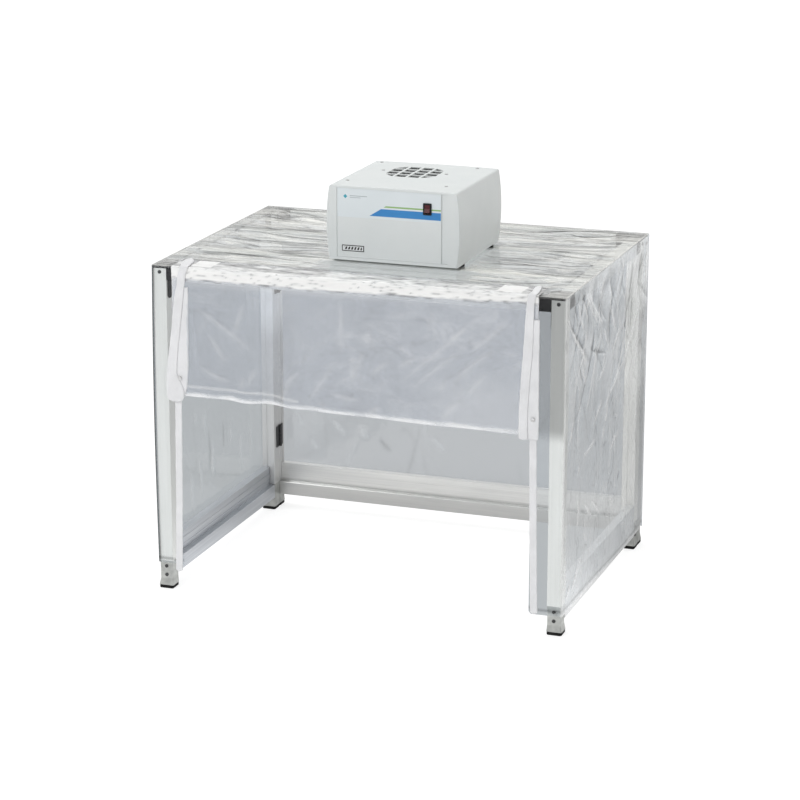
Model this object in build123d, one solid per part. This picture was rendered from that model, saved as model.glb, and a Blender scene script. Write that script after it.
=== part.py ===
from build123d import *
import os
from math import atan2, ceil, cos, pi, radians, sin, sqrt, tan

os.makedirs("parts", exist_ok=True)

# Tabletop clean booth: a folding aluminium frame under a clear film cover with a
# fan-and-filter unit on top.  All sizes in millimetres.
# Frame of the model: +X to the right, +Y to the back, +Z up, origin on the floor
# under the middle of the booth.

# ------------------------------------------------------------------ driving sizes
WIDTH = 900.0             # outside width, over the side films
DEPTH = 650.0             # outside depth, front tapes to back film
FRAME_TOP = 708.0         # top of the aluminium frame
FILM_T = 1.2              # thickness given to a film sheet
PROFILE = 30.0            # square section of posts and top rails
WALL = 2.0                # wall of the square section
POST_OUT = 446.0          # outer face of the posts, from the middle plane
FRONT = -319.0            # front face of the front posts
REAR = 261.0              # front face of the rear posts of the side frames
BACK = 292.0              # front face of the posts of the back frame
CAP_T = 5.0               # cap of a corner joint on a post's end
ARM = 34.0                # visible length of a corner joint's arm
SPIGOT = 25.4             # square spigot of joints and feet, in the 26 mm tube
SPIGOT_LEN = 28.0
POST_FOOT = 62.0          # lower end of a post tube, where the foot starts
SOLE_T = 7.5              # thickness of a rubber sole
RAIL_LOW = 30.0           # underside of the bottom rails
RAIL_H = 73.0             # height of a bottom rail
RAIL_STEP = 31.0          # height of its lower, full-depth chamber
RAIL_WEB = 18.0           # depth of its upper chamber
CROSS_H = 20.0            # height of a cross rail
CROSS_Y = (-133.0, 88.0)  # middle lines of the two cross rails
SIDE_FILM_LOW = 38.0      # lower edge of the side and back films
CURTAIN_LOW = 424.0       # folded edge of the front curtain
CURTAIN_X = (-402.0, 391.0)
CURTAIN_TOP_Y = -250.0    # rear edge of the curtain's top part, on the roof film
WIDE_TAPE = 36.0          # width of the curtain's side tapes
EDGE_TAPE = 15.0          # width of the tapes on the front edges of the side films
STRIP_IN = (-388.0, 378.0)  # inner edges of the front strips of the side films

UX, UY = 26.0, -17.75     # middle of the fan unit in plan
UNIT_W, UNIT_D = 285.0, 285.5
UNIT_FOOT = 4.0
UNIT_TOP = 871.5
UNIT_SKIN = 2.5
FAN_X, FAN_Y = 12.0, 20.0   # axis of the fan
GRILLE_R = 62.5
GRILLE_PITCH = 29.0
GRILLE_HOLE = 23.5
TOP_EDGE_R = 5.0          # rounding of the cover's upper side edges
FAN_BORE_R = 60.5
BLADE_R = 59.0
BLADES = 7
SHAFT_R = 2.0
BEARING_R = 2.04
SWITCH_X, SWITCH_Z = 102.0, 833.0
ROCKER_TILT = 9.0         # lean of the rocker in each of its two positions
PIVOT_R = 1.0
PIVOT_HOLE_R = 1.05
INLET_X, INLET_Z = 106.0, 822.0


# ------------------------------------------------------------------ helpers
def bx(x0, x1, y0, y1, z0, z1):
    """A box between two corners."""
    return Pos((x0 + x1) / 2, (y0 + y1) / 2, (z0 + z1) / 2) * Box(
        abs(x1 - x0), abs(y1 - y0), abs(z1 - z0))


def along_x(sketch, x0, x1):
    """Sketch in (y, z), pulled from x0 to x1."""
    return extrude(Plane.YZ.offset(x0) * sketch, amount=x1 - x0)


def along_y(sketch, y0, y1):
    """Sketch in (x, z), pulled from y0 to y1."""
    return extrude(Plane.XZ.offset(-y1) * sketch, amount=y1 - y0)


def along_z(sketch, z0, z1):
    return extrude(Plane.XY.offset(z0) * sketch, amount=z1 - z0)


def poly(*pts):
    return make_face(Polyline(*pts, close=True))


def square_tube(grooves=()):
    """Section of the square profile; grooves names faces ('+u', '-u', '+v', '-v')
    that carry the shallow film groove."""
    s = RectangleRounded(PROFILE, PROFILE, 1.2) - Rectangle(PROFILE - 2 * WALL, PROFILE - 2 * WALL)
    h = PROFILE / 2
    for g in grooves:
        d = h - 0.5
        c = {"+u": (d, 0), "-u": (-d, 0), "+v": (0, d), "-v": (0, -d)}[g]
        wide = (1.0, 7.0) if g[1] == "u" else (7.0, 1.0)
        s -= Pos(*c) * Rectangle(*wide)
    return s


def screw(x, y, z, direction, head_r=3.5, head_h=2.3, shank_r=1.9, length=12.0):
    """Pan-head screw with a cross recess; (x, y, z) is under the head, direction
    points out of the head."""
    head = Pos(0, 0, head_h / 2) * Cylinder(head_r, head_h)
    head = fillet(head.edges().sort_by(Axis.Z)[-1], head_h * 0.55)
    cross = Pos(0, 0, head_h) * (Box(head_r * 1.15, 0.8, head_h) + Box(0.8, head_r * 1.15, head_h))
    shank = Pos(0, 0, -length / 2) * Cylinder(shank_r, length)
    body = head - cross + shank
    return Plane(origin=(x, y, z), z_dir=direction) * body


def group(solids):
    return Compound(children=list(solids))


def tube_path(points, radius):
    """Round lead along straight runs joined by tangent arcs."""
    pts = [Vector(*p) for p in points]
    radii = []
    for i in range(1, len(pts) - 1):
        a, b = pts[i] - pts[i - 1], pts[i + 1] - pts[i]
        turn = radians(a.get_angle(b))
        radii.append(0.45 * min(a.length, b.length) / tan(turn / 2))
    path = FilletPolyline(*[tuple(p) for p in points], radius=radii)
    start = Plane(origin=path @ 0, z_dir=path % 0)
    solid = sweep(start * Circle(radius), path=path)
    print("lead", "length", round(path.length, 1), "radii", [round(r, 1) for r in radii],
          "volume", round(solid.volume, 1), "expected", round(pi * radius ** 2 * path.length, 1))
    return solid


nodes = {}

# ------------------------------------------------------------------ frame: posts
POST_TOP = FRAME_TOP - CAP_T
post_h = POST_TOP - POST_FOOT


def post(x0, y0, grooves):
    c = (x0 + PROFILE / 2, y0 + PROFILE / 2)
    return along_z(Pos(*c) * square_tube(grooves), POST_FOOT, POST_TOP)


def screw_hole(x, y, z, direction, r=2.1, length=16.0):
    return Plane(origin=(x, y, z), z_dir=direction) * (Pos(0, 0, -length / 2 + 1) * Cylinder(r, length + 2))


TOP_SCREW_Z = 695.0
FOOT_SCREW_Z = (50.0, 30.5)
left_in, right_in = -POST_OUT + PROFILE, POST_OUT - PROFILE
corner = {
    "left_front": (-POST_OUT, FRONT),
    "left_rear": (-POST_OUT, REAR),
    "right_front": (right_in, FRONT),
    "right_rear": (right_in, REAR),
    "back_left": (-POST_OUT, BACK),
    "back_right": (right_in, BACK),
}
# outward face of each post that carries its screws
screw_dir = {
    "left_front": (0, -1, 0), "right_front": (0, -1, 0),
    "left_rear": (-1, 0, 0), "right_rear": (1, 0, 0),
    "back_left": (0, 1, 0), "back_right": (0, 1, 0),
}
post_grooves = {
    "left_front": ("+v",), "right_front": ("+v",),
    "left_rear": ("-v",), "right_rear": ("-v",),
    "back_left": ("+u",), "back_right": ("-u",),
}


def screw_face(name):
    """Middle of the post face that carries the screws."""
    x0, y0 = corner[name]
    dx, dy, _ = screw_dir[name]
    return (x0 + PROFILE / 2 + dx * PROFILE / 2, y0 + PROFILE / 2 + dy * PROFILE / 2)


frame_screws = []
for name, (x0, y0) in corner.items():
    fx, fy = screw_face(name)
    body = post(x0, y0, post_grooves[name])
    body -= screw_hole(fx, fy, TOP_SCREW_Z, screw_dir[name], length=6)
    nodes["post_" + name] = body
    frame_screws.append(screw(fx, fy, TOP_SCREW_Z, screw_dir[name], head_r=3.9, head_h=1.5, length=10))

# ------------------------------------------------------------------ feet and soles
# The foot is a casting: a spigot in the post tube, a block as wide as the post and
# a flared lower end that holds the sole.
for name, (x0, y0) in corner.items():
    cx, cy = x0 + PROFILE / 2, y0 + PROFILE / 2
    out = -1 if x0 < 0 else 1
    if name.endswith("front"):
        sx, sy, wx, wy = out * 1.0, -0.8, 33.0, 32.4
    elif name.startswith("back"):
        sx, sy, wx, wy = out * 1.0, 0.6, 33.0, 30.6
    else:
        sx, sy, wx, wy = out * 1.0, -0.6, 33.0, 30.6
    low = Plane.XY.offset(SOLE_T) * Pos(cx + sx, cy + sy) * RectangleRounded(wx, wy, 3.0)
    waist = Plane.XY.offset(22.0) * Pos(cx, cy) * RectangleRounded(28.8, 28.8, 2.0)
    flare = loft([low, waist])
    block = along_z(Pos(cx, cy) * RectangleRounded(28.8, 28.8, 2.0), 22.0, 42.0)
    upper = loft([Plane.XY.offset(42.0) * Pos(cx, cy) * RectangleRounded(28.8, 28.8, 2.0),
                  Plane.XY.offset(POST_FOOT) * Pos(cx, cy) * RectangleRounded(PROFILE, PROFILE, 1.2)])
    spig = along_z(Pos(cx, cy) * RectangleRounded(SPIGOT, SPIGOT, 1.0), POST_FOOT, POST_FOOT + SPIGOT_LEN)
    foot = flare + block + upper + spig
    # pocket under the foot for the sole's boss
    foot -= Pos(cx, cy, SOLE_T + 3) * Cylinder(7.0, 8.0)
    dx, dy, _ = screw_dir[name]
    for z in FOOT_SCREW_Z:
        inset = 0.2 if z > 45 else 0.58
        px, py = cx + dx * (PROFILE / 2 - inset), cy + dy * (PROFILE / 2 - inset)
        foot -= screw_hole(px, py, z, screw_dir[name], length=12)
        frame_screws.append(screw(px, py, z, screw_dir[name], head_r=3.9, head_h=1.5, length=9))
    nodes["foot_" + name] = foot

soles = []
for name, (x0, y0) in corner.items():
    cx, cy = x0 + PROFILE / 2, y0 + PROFILE / 2
    out = -1 if x0 < 0 else 1
    if name.endswith("front"):
        sx, sy, wx, wy = out * 1.0, -0.8, 32.4, 31.8
    elif name.startswith("back"):
        sx, sy, wx, wy = out * 1.0, 0.6, 32.4, 30.0
    else:
        sx, sy, wx, wy = out * 1.0, -0.6, 32.4, 30.0
    pad = along_z(Pos(cx + sx, cy + sy) * RectangleRounded(wx, wy, 4.5), 0.0, SOLE_T)
    pad = chamfer(pad.faces().sort_by(Axis.Z)[0].edges(), 1.2)
    pad += Pos(cx, cy, SOLE_T + 2.5) * Cylinder(6.8, 8.0)
    soles.append(pad)
nodes["foot_soles"] = group(soles)

# ------------------------------------------------------------------ corner joints
# Black moulded joints: a cap on the post, a spigot down into it and one or two arms
# whose spigots go into the top rails.
low_z = FRAME_TOP - PROFILE


def arm_x(x_post, direction, y0):
    """Arm along X starting at the post face x_post."""
    a, b = sorted((x_post, x_post + direction * ARM))
    block = along_x(Pos(y0 + PROFILE / 2, (low_z + FRAME_TOP) / 2) * RectangleRounded(29.2, PROFILE, 1.5), a, b)
    ridge = along_x(Pos(y0 + PROFILE / 2, low_z + 15) * (RectangleRounded(29.8, 12, 1.0)), a + 6, b - 6)
    e = x_post + direction * (ARM + SPIGOT_LEN)
    c, d = sorted((x_post + direction * (ARM - 1), e))
    spig = along_x(Pos(y0 + PROFILE / 2, (low_z + FRAME_TOP) / 2) * RectangleRounded(SPIGOT, SPIGOT, 1.0), c, d)
    return block + ridge + spig


def arm_y(y_post, direction, x0):
    a, b = sorted((y_post, y_post + direction * ARM))
    block = along_y(Pos(x0 + PROFILE / 2, (low_z + FRAME_TOP) / 2) * RectangleRounded(29.2, PROFILE, 1.5), a, b)
    ridge = along_y(Pos(x0 + PROFILE / 2, low_z + 15) * (RectangleRounded(29.8, 12, 1.0)), a + 6, b - 6)
    e = y_post + direction * (ARM + SPIGOT_LEN)
    c, d = sorted((y_post + direction * (ARM - 1), e))
    spig = along_y(Pos(x0 + PROFILE / 2, (low_z + FRAME_TOP) / 2) * RectangleRounded(SPIGOT, SPIGOT, 1.0), c, d)
    return block + ridge + spig


for name, (x0, y0) in corner.items():
    cx, cy = x0 + PROFILE / 2, y0 + PROFILE / 2
    inward = 1 if x0 < 0 else -1
    cap = along_z(Pos(cx, cy) * RectangleRounded(PROFILE, PROFILE, 1.2), POST_TOP, FRAME_TOP)
    joint = cap + along_z(Pos(cx, cy) * RectangleRounded(SPIGOT, SPIGOT, 1.0), POST_TOP - 32, POST_TOP)
    if name.endswith("front"):
        joint += arm_x(x0 + PROFILE if inward > 0 else x0, inward, y0)
        joint += arm_y(y0 + PROFILE, 1, x0)
        # tongue that lies on the post's inner face below the arm
        face = x0 + PROFILE if inward > 0 else x0
        tongue = along_x(poly((y0 + 6, low_z + 1), (y0 + 24, low_z + 1), (y0 + 24, low_z - 34), (y0 + 19, low_z - 40),
                              (y0 + 11, low_z - 40), (y0 + 6, low_z - 34)), min(face, face + inward * 2.2),
                         max(face, face + inward * 2.2))
        joint += tongue
    elif name.endswith("rear"):
        joint += arm_y(y0, -1, x0)
    else:
        joint += arm_x(x0 + PROFILE if inward > 0 else x0, inward, y0)
    fx, fy = screw_face(name)
    joint -= screw_hole(fx, fy, TOP_SCREW_Z, screw_dir[name], length=12)
    nodes["joint_" + name] = joint

# ------------------------------------------------------------------ top rails
zc = (low_z + FRAME_TOP) / 2
for side, x0 in (("left", -POST_OUT), ("right", right_in)):
    grooves = ("+u",) if side == "left" else ("-u",)
    nodes["rail_" + side + "_top"] = along_y(
        Pos(x0 + PROFILE / 2, zc) * square_tube(grooves), FRONT + PROFILE + ARM, REAR - ARM)
nodes["rail_back_top"] = along_x(
    Pos(BACK + PROFILE / 2, zc) * square_tube(("-u",)), left_in + ARM, right_in - ARM)
nodes["rail_front_top"] = along_x(
    Pos(FRONT + PROFILE / 2, zc) * square_tube(("+u",)), left_in + ARM, right_in - ARM)

# ------------------------------------------------------------------ cross rails
cz0, cz1 = FRAME_TOP - CROSS_H, FRAME_TOP
cross = RectangleRounded(PROFILE, CROSS_H, 1.2) - Rectangle(PROFILE - 2 * WALL, CROSS_H - 2 * WALL)
nodes["cross_rail_front"] = along_x(Pos(CROSS_Y[0], (cz0 + cz1) / 2) * cross, left_in, right_in)
nodes["cross_rail_rear"] = along_x(Pos(CROSS_Y[1], (cz0 + cz1) / 2) * cross, left_in, right_in)
brackets = []
for y in CROSS_Y:
    for s, x in ((1, left_in), (-1, right_in)):
        a, b = sorted((x, x + s * 26))
        seat = bx(a, b, y - 14, y + 14, cz0 - 2.2, cz0)
        a, b = sorted((x, x + s * 2.2))
        leg = bx(a, b, y - 14, y + 14, FRAME_TOP - PROFILE + 1, cz0 - 2.2)
        brackets.append(seat + leg)
nodes["cross_rail_brackets"] = group(brackets)

# ------------------------------------------------------------------ bottom rails
# Stepped extrusion, u from the outer face inwards, z from the underside: a lower
# chamber as deep as the posts and a shallower upper chamber above the ledge.


def stepped(sign):
    def q(*p):
        return [(sign * u, RAIL_LOW + z) for u, z in p]
    s = poly(*q((0, 0), (30, 0), (30, RAIL_STEP - 2), (29, RAIL_STEP - 0.6), (RAIL_WEB, RAIL_STEP + 1),
                (RAIL_WEB, RAIL_H), (0, RAIL_H)))
    s -= poly(*q((1.8, 1.8), (28.2, 1.8), (28.2, 28.4), (1.8, 28.4)))
    s -= poly(*q((1.8, 30.2), (RAIL_WEB - 1.8, 30.2), (RAIL_WEB - 1.8, RAIL_H - 1.8), (1.8, RAIL_H - 1.8)))
    for z in (44.0, 58.0):
        s -= poly(*q((RAIL_WEB - 0.7, z), (RAIL_WEB + 1, z), (RAIL_WEB + 1, z + 1.4), (RAIL_WEB - 0.7, z + 1.4)))
    return s


nodes["rail_left_bottom"] = along_y(Pos(-POST_OUT, 0) * stepped(1), FRONT + PROFILE, REAR)
nodes["rail_right_bottom"] = along_y(Pos(POST_OUT, 0) * stepped(-1), FRONT + PROFILE, REAR)
nodes["rail_back_bottom"] = along_x(Pos(BACK + PROFILE, 0) * stepped(-1), left_in, right_in)

# ------------------------------------------------------------------ folding hinges
# Two on each rear corner, on the inner faces of the rear post and the back post.
HINGE_H = 50.0
HINGE_Z = (173.0, 540.0)
KNUCKLE_R, PIN_R = 3.2, 1.5
hinge_y = (REAR + PROFILE + BACK) / 2
side_leaves, back_leaves, pins = [], [], []
for s, x in ((1, left_in), (-1, right_in)):
    ax = x + s * KNUCKLE_R
    for zm in HINGE_Z:
        z0 = zm - HINGE_H / 2
        seg = HINGE_H / 5
        a, b = sorted((x, x + s * 2.0))
        plate_s = bx(a, b, hinge_y - 18, hinge_y - 0.4, z0, z0 + HINGE_H)
        plate_b = bx(a, b, hinge_y + 0.4, hinge_y + 18, z0, z0 + HINGE_H)
        for k in range(5):
            knuckle = Pos(ax, hinge_y, z0 + seg * (k + 0.5)) * Cylinder(KNUCKLE_R, seg - 0.5)
            room = Pos(ax, hinge_y, z0 + seg * (k + 0.5)) * Cylinder(KNUCKLE_R + 0.3, seg)
            if k % 2 == 0:
                plate_b -= room
                plate_s += knuckle
            else:
                plate_s -= room
                plate_b += knuckle
        bore = Pos(ax, hinge_y, zm) * Cylinder(PIN_R + 0.05, HINGE_H + 2)
        side_leaves.append(plate_s - bore)
        back_leaves.append(plate_b - bore)
        pins.append(Pos(ax, hinge_y, zm) * Cylinder(PIN_R, HINGE_H + 1.2)
                    + Pos(ax, hinge_y, zm + HINGE_H / 2 + 1.1) * Cylinder(2.4, 1.0))
nodes["hinge_side_leaves"] = group(side_leaves)
nodes["hinge_back_leaves"] = group(back_leaves)
nodes["hinge_pins"] = group(pins)
nodes["frame_screws"] = group(frame_screws)

# ------------------------------------------------------------------ film cover
half = WIDTH / 2
roof_z0 = FRAME_TOP + 0.2
roof_z1 = roof_z0 + FILM_T
STRIP_Y0, STRIP_Y1 = FRONT - 2.9, FRONT - 1.7
BACK_Y1 = DEPTH / 2
BACK_Y0 = BACK_Y1 - FILM_T

# roof with the air opening under the fan unit
AIR_X, AIR_Y = 110.0, 104.0
roof = bx(-half + FILM_T, half - FILM_T, STRIP_Y1, BACK_Y0, roof_z0, roof_z1)
roof -= bx(UX - AIR_X, UX + AIR_X, UY - AIR_Y, UY + AIR_Y, roof_z0 - 5, roof_z1 + 5)
nodes["film_roof"] = roof

# side films, each wrapped round its front post with a strip on the front
for side, sgn in (("left", -1), ("right", 1)):
    a, b = sorted((sgn * half, sgn * (half - FILM_T)))
    panel = bx(a, b, STRIP_Y0, BACK_Y1, SIDE_FILM_LOW, roof_z0 + FILM_T)
    inner = STRIP_IN[0] if sgn < 0 else STRIP_IN[1]
    a, b = sorted((sgn * half, inner))
    strip = bx(a, b, STRIP_Y0, STRIP_Y1, SIDE_FILM_LOW + 2, roof_z0 - 0.2)
    toe = strip.edges().filter_by(Axis.Y).group_by(Axis.Z)[0].sort_by(Axis.X)[-1 if sgn < 0 else 0]
    strip = fillet(toe, 7.0)
    nodes["film_" + side] = panel + strip

nodes["film_back"] = bx(-half + FILM_T, half - FILM_T, BACK_Y0, BACK_Y1, SIDE_FILM_LOW - 2, roof_z1)

# tapes on the front edges of the side films
tape_l = bx(STRIP_IN[0] - EDGE_TAPE - 1, STRIP_IN[0] - 1, STRIP_Y0 - 0.6, STRIP_Y0, 46, 704)
tape_r = bx(STRIP_IN[1] + 1, STRIP_IN[1] + EDGE_TAPE + 1, STRIP_Y0 - 0.6, STRIP_Y0, 46, 704)
nodes["edge_tapes"] = group([tape_l, tape_r])

# front curtain: lies on the roof, drops over the front rail and is folded up double
CUR_Y0 = -DEPTH / 2 + 0.8
CUR_Y1 = STRIP_Y0 - 0.7
hook_z = roof_z1 + 0.8
drop = poly((CUR_Y0, CURTAIN_LOW + 1.0), (CUR_Y0 + 0.6, CURTAIN_LOW), (CUR_Y1 - 0.6, CURTAIN_LOW),
            (CUR_Y1, CURTAIN_LOW + 1.0), (CUR_Y1, hook_z), (CURTAIN_TOP_Y, hook_z),
            (CURTAIN_TOP_Y, hook_z + 1.0), (CUR_Y0 + 0.8, hook_z + 1.0), (CUR_Y0, hook_z + 0.2))
nodes["front_curtain"] = along_x(drop, CURTAIN_X[0], CURTAIN_X[1])
nodes["curtain_hook_strip"] = bx(CURTAIN_X[0] + 40, CURTAIN_X[1] - 40, -316, -288, roof_z1, hook_z)
wide = poly((-DEPTH / 2, CURTAIN_LOW - 4), (CUR_Y0, CURTAIN_LOW - 4), (CUR_Y0, hook_z + 1.0), (-262, hook_z + 1.0),
            (-262, hook_z + 2.2), (-DEPTH / 2, hook_z + 2.2))
nodes["curtain_tapes"] = group([
    along_x(wide, CURTAIN_X[0] - 2, CURTAIN_X[0] - 2 + WIDE_TAPE),
    along_x(wide, CURTAIN_X[1] + 2 - WIDE_TAPE, CURTAIN_X[1] + 2)])

# snap buttons: on the film's rear upper corners
snaps = []
for sgn in (-1, 1):
    for y, z in ((236.0, 690.0), (306.0, 690.0)):
        disc = Cylinder(4.0, 1.0)
        disc = chamfer(disc.edges().sort_by(Axis.Z)[-1], 0.4)
        snaps.append(Pos(sgn * (half - FILM_T - 0.5), y, z) * Rot(0, -sgn * 90, 0) * disc)
nodes["film_snaps"] = group(snaps)

# ------------------------------------------------------------------ fan unit
unit_z = roof_z1 + UNIT_FOOT
BASE_EDGE = 6.3
body_z = unit_z + BASE_EDGE
yf, yb = UY - UNIT_D / 2, UY + UNIT_D / 2

# base tray with the air outlet; its edge shows below the cover
base = along_z(Pos(UX, UY) * RectangleRounded(UNIT_W - 2, UNIT_D - 1, 5.0), unit_z, body_z)
base += along_z(Pos(UX, UY) * RectangleRounded(UNIT_W - 9.5, UNIT_D - 9.5, 3.0), body_z, body_z + 14)
base -= along_z(Pos(UX, UY) * Rectangle(UNIT_W - 15.5, UNIT_D - 15.5), unit_z + 3.0, body_z + 20)
base -= bx(UX - AIR_X, UX + AIR_X, UY - AIR_Y, UY + AIR_Y, unit_z - 5, unit_z + 10)
nodes["unit_base"] = base


def cover_face(off):
    """Section of the cover in (x, z): bulged sides and a softly crowned top."""
    xb, xm, xt = 141.2 - off, 146.4 - off, 140.6 - off
    z0, z1, r = body_z, UNIT_TOP - off, TOP_EDGE_R - off
    zs = z1 - r - 1.2
    c = r * (1 - sqrt(0.5))
    right = ThreePointArc((UX + xb, z0), (UX + xm, z0 + 0.46 * (zs - z0)), (UX + xt, zs))
    cr = ThreePointArc((UX + xt, zs), (UX + xt - c, zs + r - c), (UX + xt - r, zs + r))
    top = ThreePointArc((UX + xt - r, zs + r), (UX, z1), (UX - xt + r, zs + r))
    cl = ThreePointArc((UX - xt + r, zs + r), (UX - xt + c, zs + r - c), (UX - xt, zs))
    left = ThreePointArc((UX - xt, zs), (UX - xm, z0 + 0.46 * (zs - z0)), (UX - xb, z0))
    floor = Line((UX - xb, z0), (UX + xb, z0))
    return make_face(right + cr + top + cl + left + floor)


PANEL_X0, PANEL_X1 = UX - 123.0, UX + 120.0
PANEL_Z1 = UNIT_TOP - 5.5
cover = along_y(cover_face(0.0), yf, yb)
for y in (yf, yb):
    ring = [e for e in cover.edges() if abs(e.center().Y - y) < 0.01 and e.center().Z > body_z + 1]
    cover = fillet(ring, 2.0)
cover -= along_y(cover_face(UNIT_SKIN), yf + 3.5, yb - 3.5)
cover -= bx(UX - 137, UX + 137, yf + 3.5, yb - 3.5, body_z - 1, body_z + 20)
cover -= bx(PANEL_X0, PANEL_X1, yf - 2, yf + 6, body_z - 2, PANEL_Z1)
cover -= bx(UX - 120, UX + 120, yb - 6, yb + 2, body_z - 2, UNIT_TOP - 10)
# square-holed air grille inside a circle
holes = Sketch()
for i in (-1.5, -0.5, 0.5, 1.5):
    for j in (-1.5, -0.5, 0.5, 1.5):
        holes += Pos(FAN_X + i * GRILLE_PITCH, FAN_Y + j * GRILLE_PITCH) * RectangleRounded(
            GRILLE_HOLE, GRILLE_HOLE, 1.5)
holes = holes & (Pos(FAN_X, FAN_Y) * Circle(GRILLE_R))
cover -= along_z(holes, UNIT_TOP - 12, UNIT_TOP + 3)
FAN_EAR = 70.5
COVER_SCREWS = [(-93.0, -106.0), (123.0, -102.0), (-93.0, 106.0), (123.0, 106.0)]
for s in (-1, 1):
    cover -= Pos(FAN_X + s * FAN_EAR, FAN_Y, UNIT_TOP - 3) * Cylinder(2.2, 12)
top_screws = []
for x, y in COVER_SCREWS:
    cover -= Pos(x, y, UNIT_TOP - 3) * Cylinder(2.2, 10)

nodes["unit_cover"] = cover

# front panel: flat with a sunk strip beside the right pillar
front = bx(PANEL_X0 + 0.3, UX + 106, yf + 1.0, yf + 4.0, body_z + 0.2, PANEL_Z1 - 0.3)
front += bx(UX + 105, PANEL_X1 - 0.3, yf + 3.0, yf + 4.6, body_z + 0.2, PANEL_Z1 - 0.3)
front -= bx(SWITCH_X - 7.4, SWITCH_X + 7.4, yf - 2, yf + 6, SWITCH_Z - 10.7, SWITCH_Z + 10.7)
nodes["unit_front_panel"] = front
rear = bx(UX - 119.7, UX + 119.7, yb - 3.6, yb - 0.8, body_z + 0.2, UNIT_TOP - 10.3)
rear -= bx(INLET_X - 13.8, INLET_X + 13.8, yb - 6, yb + 2, INLET_Z - 10.2, INLET_Z + 10.2)
nodes["unit_back_panel"] = rear

# printed sheet across the upper front and a small plate low on the left
LABEL_Z0 = 805.0
label = bx(PANEL_X0 + 1.5, UX + 105.0, yf + 0.6, yf + 1.0, LABEL_Z0, PANEL_Z1 - 0.8)
label -= bx(SWITCH_X - 7.4, SWITCH_X + 7.4, yf - 2, yf + 6, SWITCH_Z - 10.7, SWITCH_Z + 10.7)
nodes["unit_label"] = label
nodes["unit_badge"] = along_y(Pos(-61.5, 739.0) * RectangleRounded(49.0, 13.0, 1.0), yf + 0.5, yf + 1.0)

# rubber feet between the base and the roof film
nodes["unit_feet"] = group([
    Pos(UX + sx * 136, y, roof_z1 + UNIT_FOOT / 2) * Cylinder(7.0, UNIT_FOOT)
    for sx in (-1, 1) for y in (-118, 78)])

# filter: pleated pack in a frame on a gasket
FX, FY = 128.0, 128.0
gz0 = unit_z + 3.0
gasket = bx(UX - FX, UX + FX, UY - FY, UY + FY, gz0, gz0 + 5)
gasket -= bx(UX - FX + 13, UX + FX - 13, UY - FY + 13, UY + FY - 13, gz0 - 1, gz0 + 6)
nodes["filter_gasket"] = gasket
fz0, fz1 = gz0 + 5, gz0 + 5 + 68
ff = bx(UX - FX, UX + FX, UY - FY, UY + FY, fz0, fz1)
ff -= bx(UX - FX + 12, UX + FX - 12, UY - FY + 12, UY + FY - 12, fz0 - 1, fz1 + 1)
nodes["filter_frame"] = ff
mx, my = FX - 12, FY - 12
PLEATS = 26
pitch = 2 * mx / PLEATS
tz0, tz1, tt = fz0 + 3, fz1 - 3, 3.2
upper, lower = [], []
for k in range(2 * PLEATS + 1):
    x = UX - mx + k * pitch / 2
    z = tz0 if k % 2 == 0 else tz1 - tt
    lower.append((x, z))
    upper.append((x, z + tt))
nodes["filter_media"] = along_y(poly(*lower, *upper[::-1]), UY - my, UY + my)

# fan: ring with two ears and four spokes, stator on the spokes, outer rotor
fz_top = UNIT_TOP - UNIT_SKIN - 1.4
fz_low = fz_top - 36.0
ring = Pos(FAN_X, FAN_Y, (fz_top + fz_low) / 2) * Cylinder(FAN_BORE_R + 5.5, fz_top - fz_low)
for s in (-1, 1):
    ear = Pos(FAN_X + s * (FAN_EAR - 4), FAN_Y, fz_top - 2.5) * Box(20, 16, 5)
    ring += ear
ring -= Pos(FAN_X, FAN_Y, (fz_top + fz_low) / 2) * Cylinder(FAN_BORE_R, fz_top - fz_low + 2)
hub_seat = Pos(FAN_X, FAN_Y, fz_low + 1.5) * Cylinder(24.0, 3.0)
for k in range(4):
    a = radians(45 + 90 * k)
    spoke = Pos(FAN_X, FAN_Y, fz_low + 1.5) * Rot(0, 0, 45 + 90 * k) * (Pos(43, 0, 0) * Box(42, 5, 3))
    hub_seat += spoke
ring += hub_seat
for s in (-1, 1):
    ring -= Pos(FAN_X + s * FAN_EAR, FAN_Y, fz_top - 2) * Cylinder(2.2, 12)
nodes["fan_housing"] = ring

ms = fz_low + 3.0
motor = Pos(FAN_X, FAN_Y, ms + 2) * Cylinder(22.0, 4.0)
motor += Pos(FAN_X, FAN_Y, ms + 12) * Cylinder(7.0, 18.0)
for k in range(6):
    motor += Pos(FAN_X, FAN_Y, ms + 12) * Rot(0, 0, 60 * k) * (Pos(10.5, 0, 0) * Box(9, 5, 11))
    motor += Pos(FAN_X, FAN_Y, ms + 12) * Rot(0, 0, 60 * k) * (Pos(16, 0, 0) * Box(3, 13, 12))
motor -= Pos(FAN_X, FAN_Y, ms + 13) * Cylinder(BEARING_R, 30.0)
nodes["fan_motor"] = motor

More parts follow.
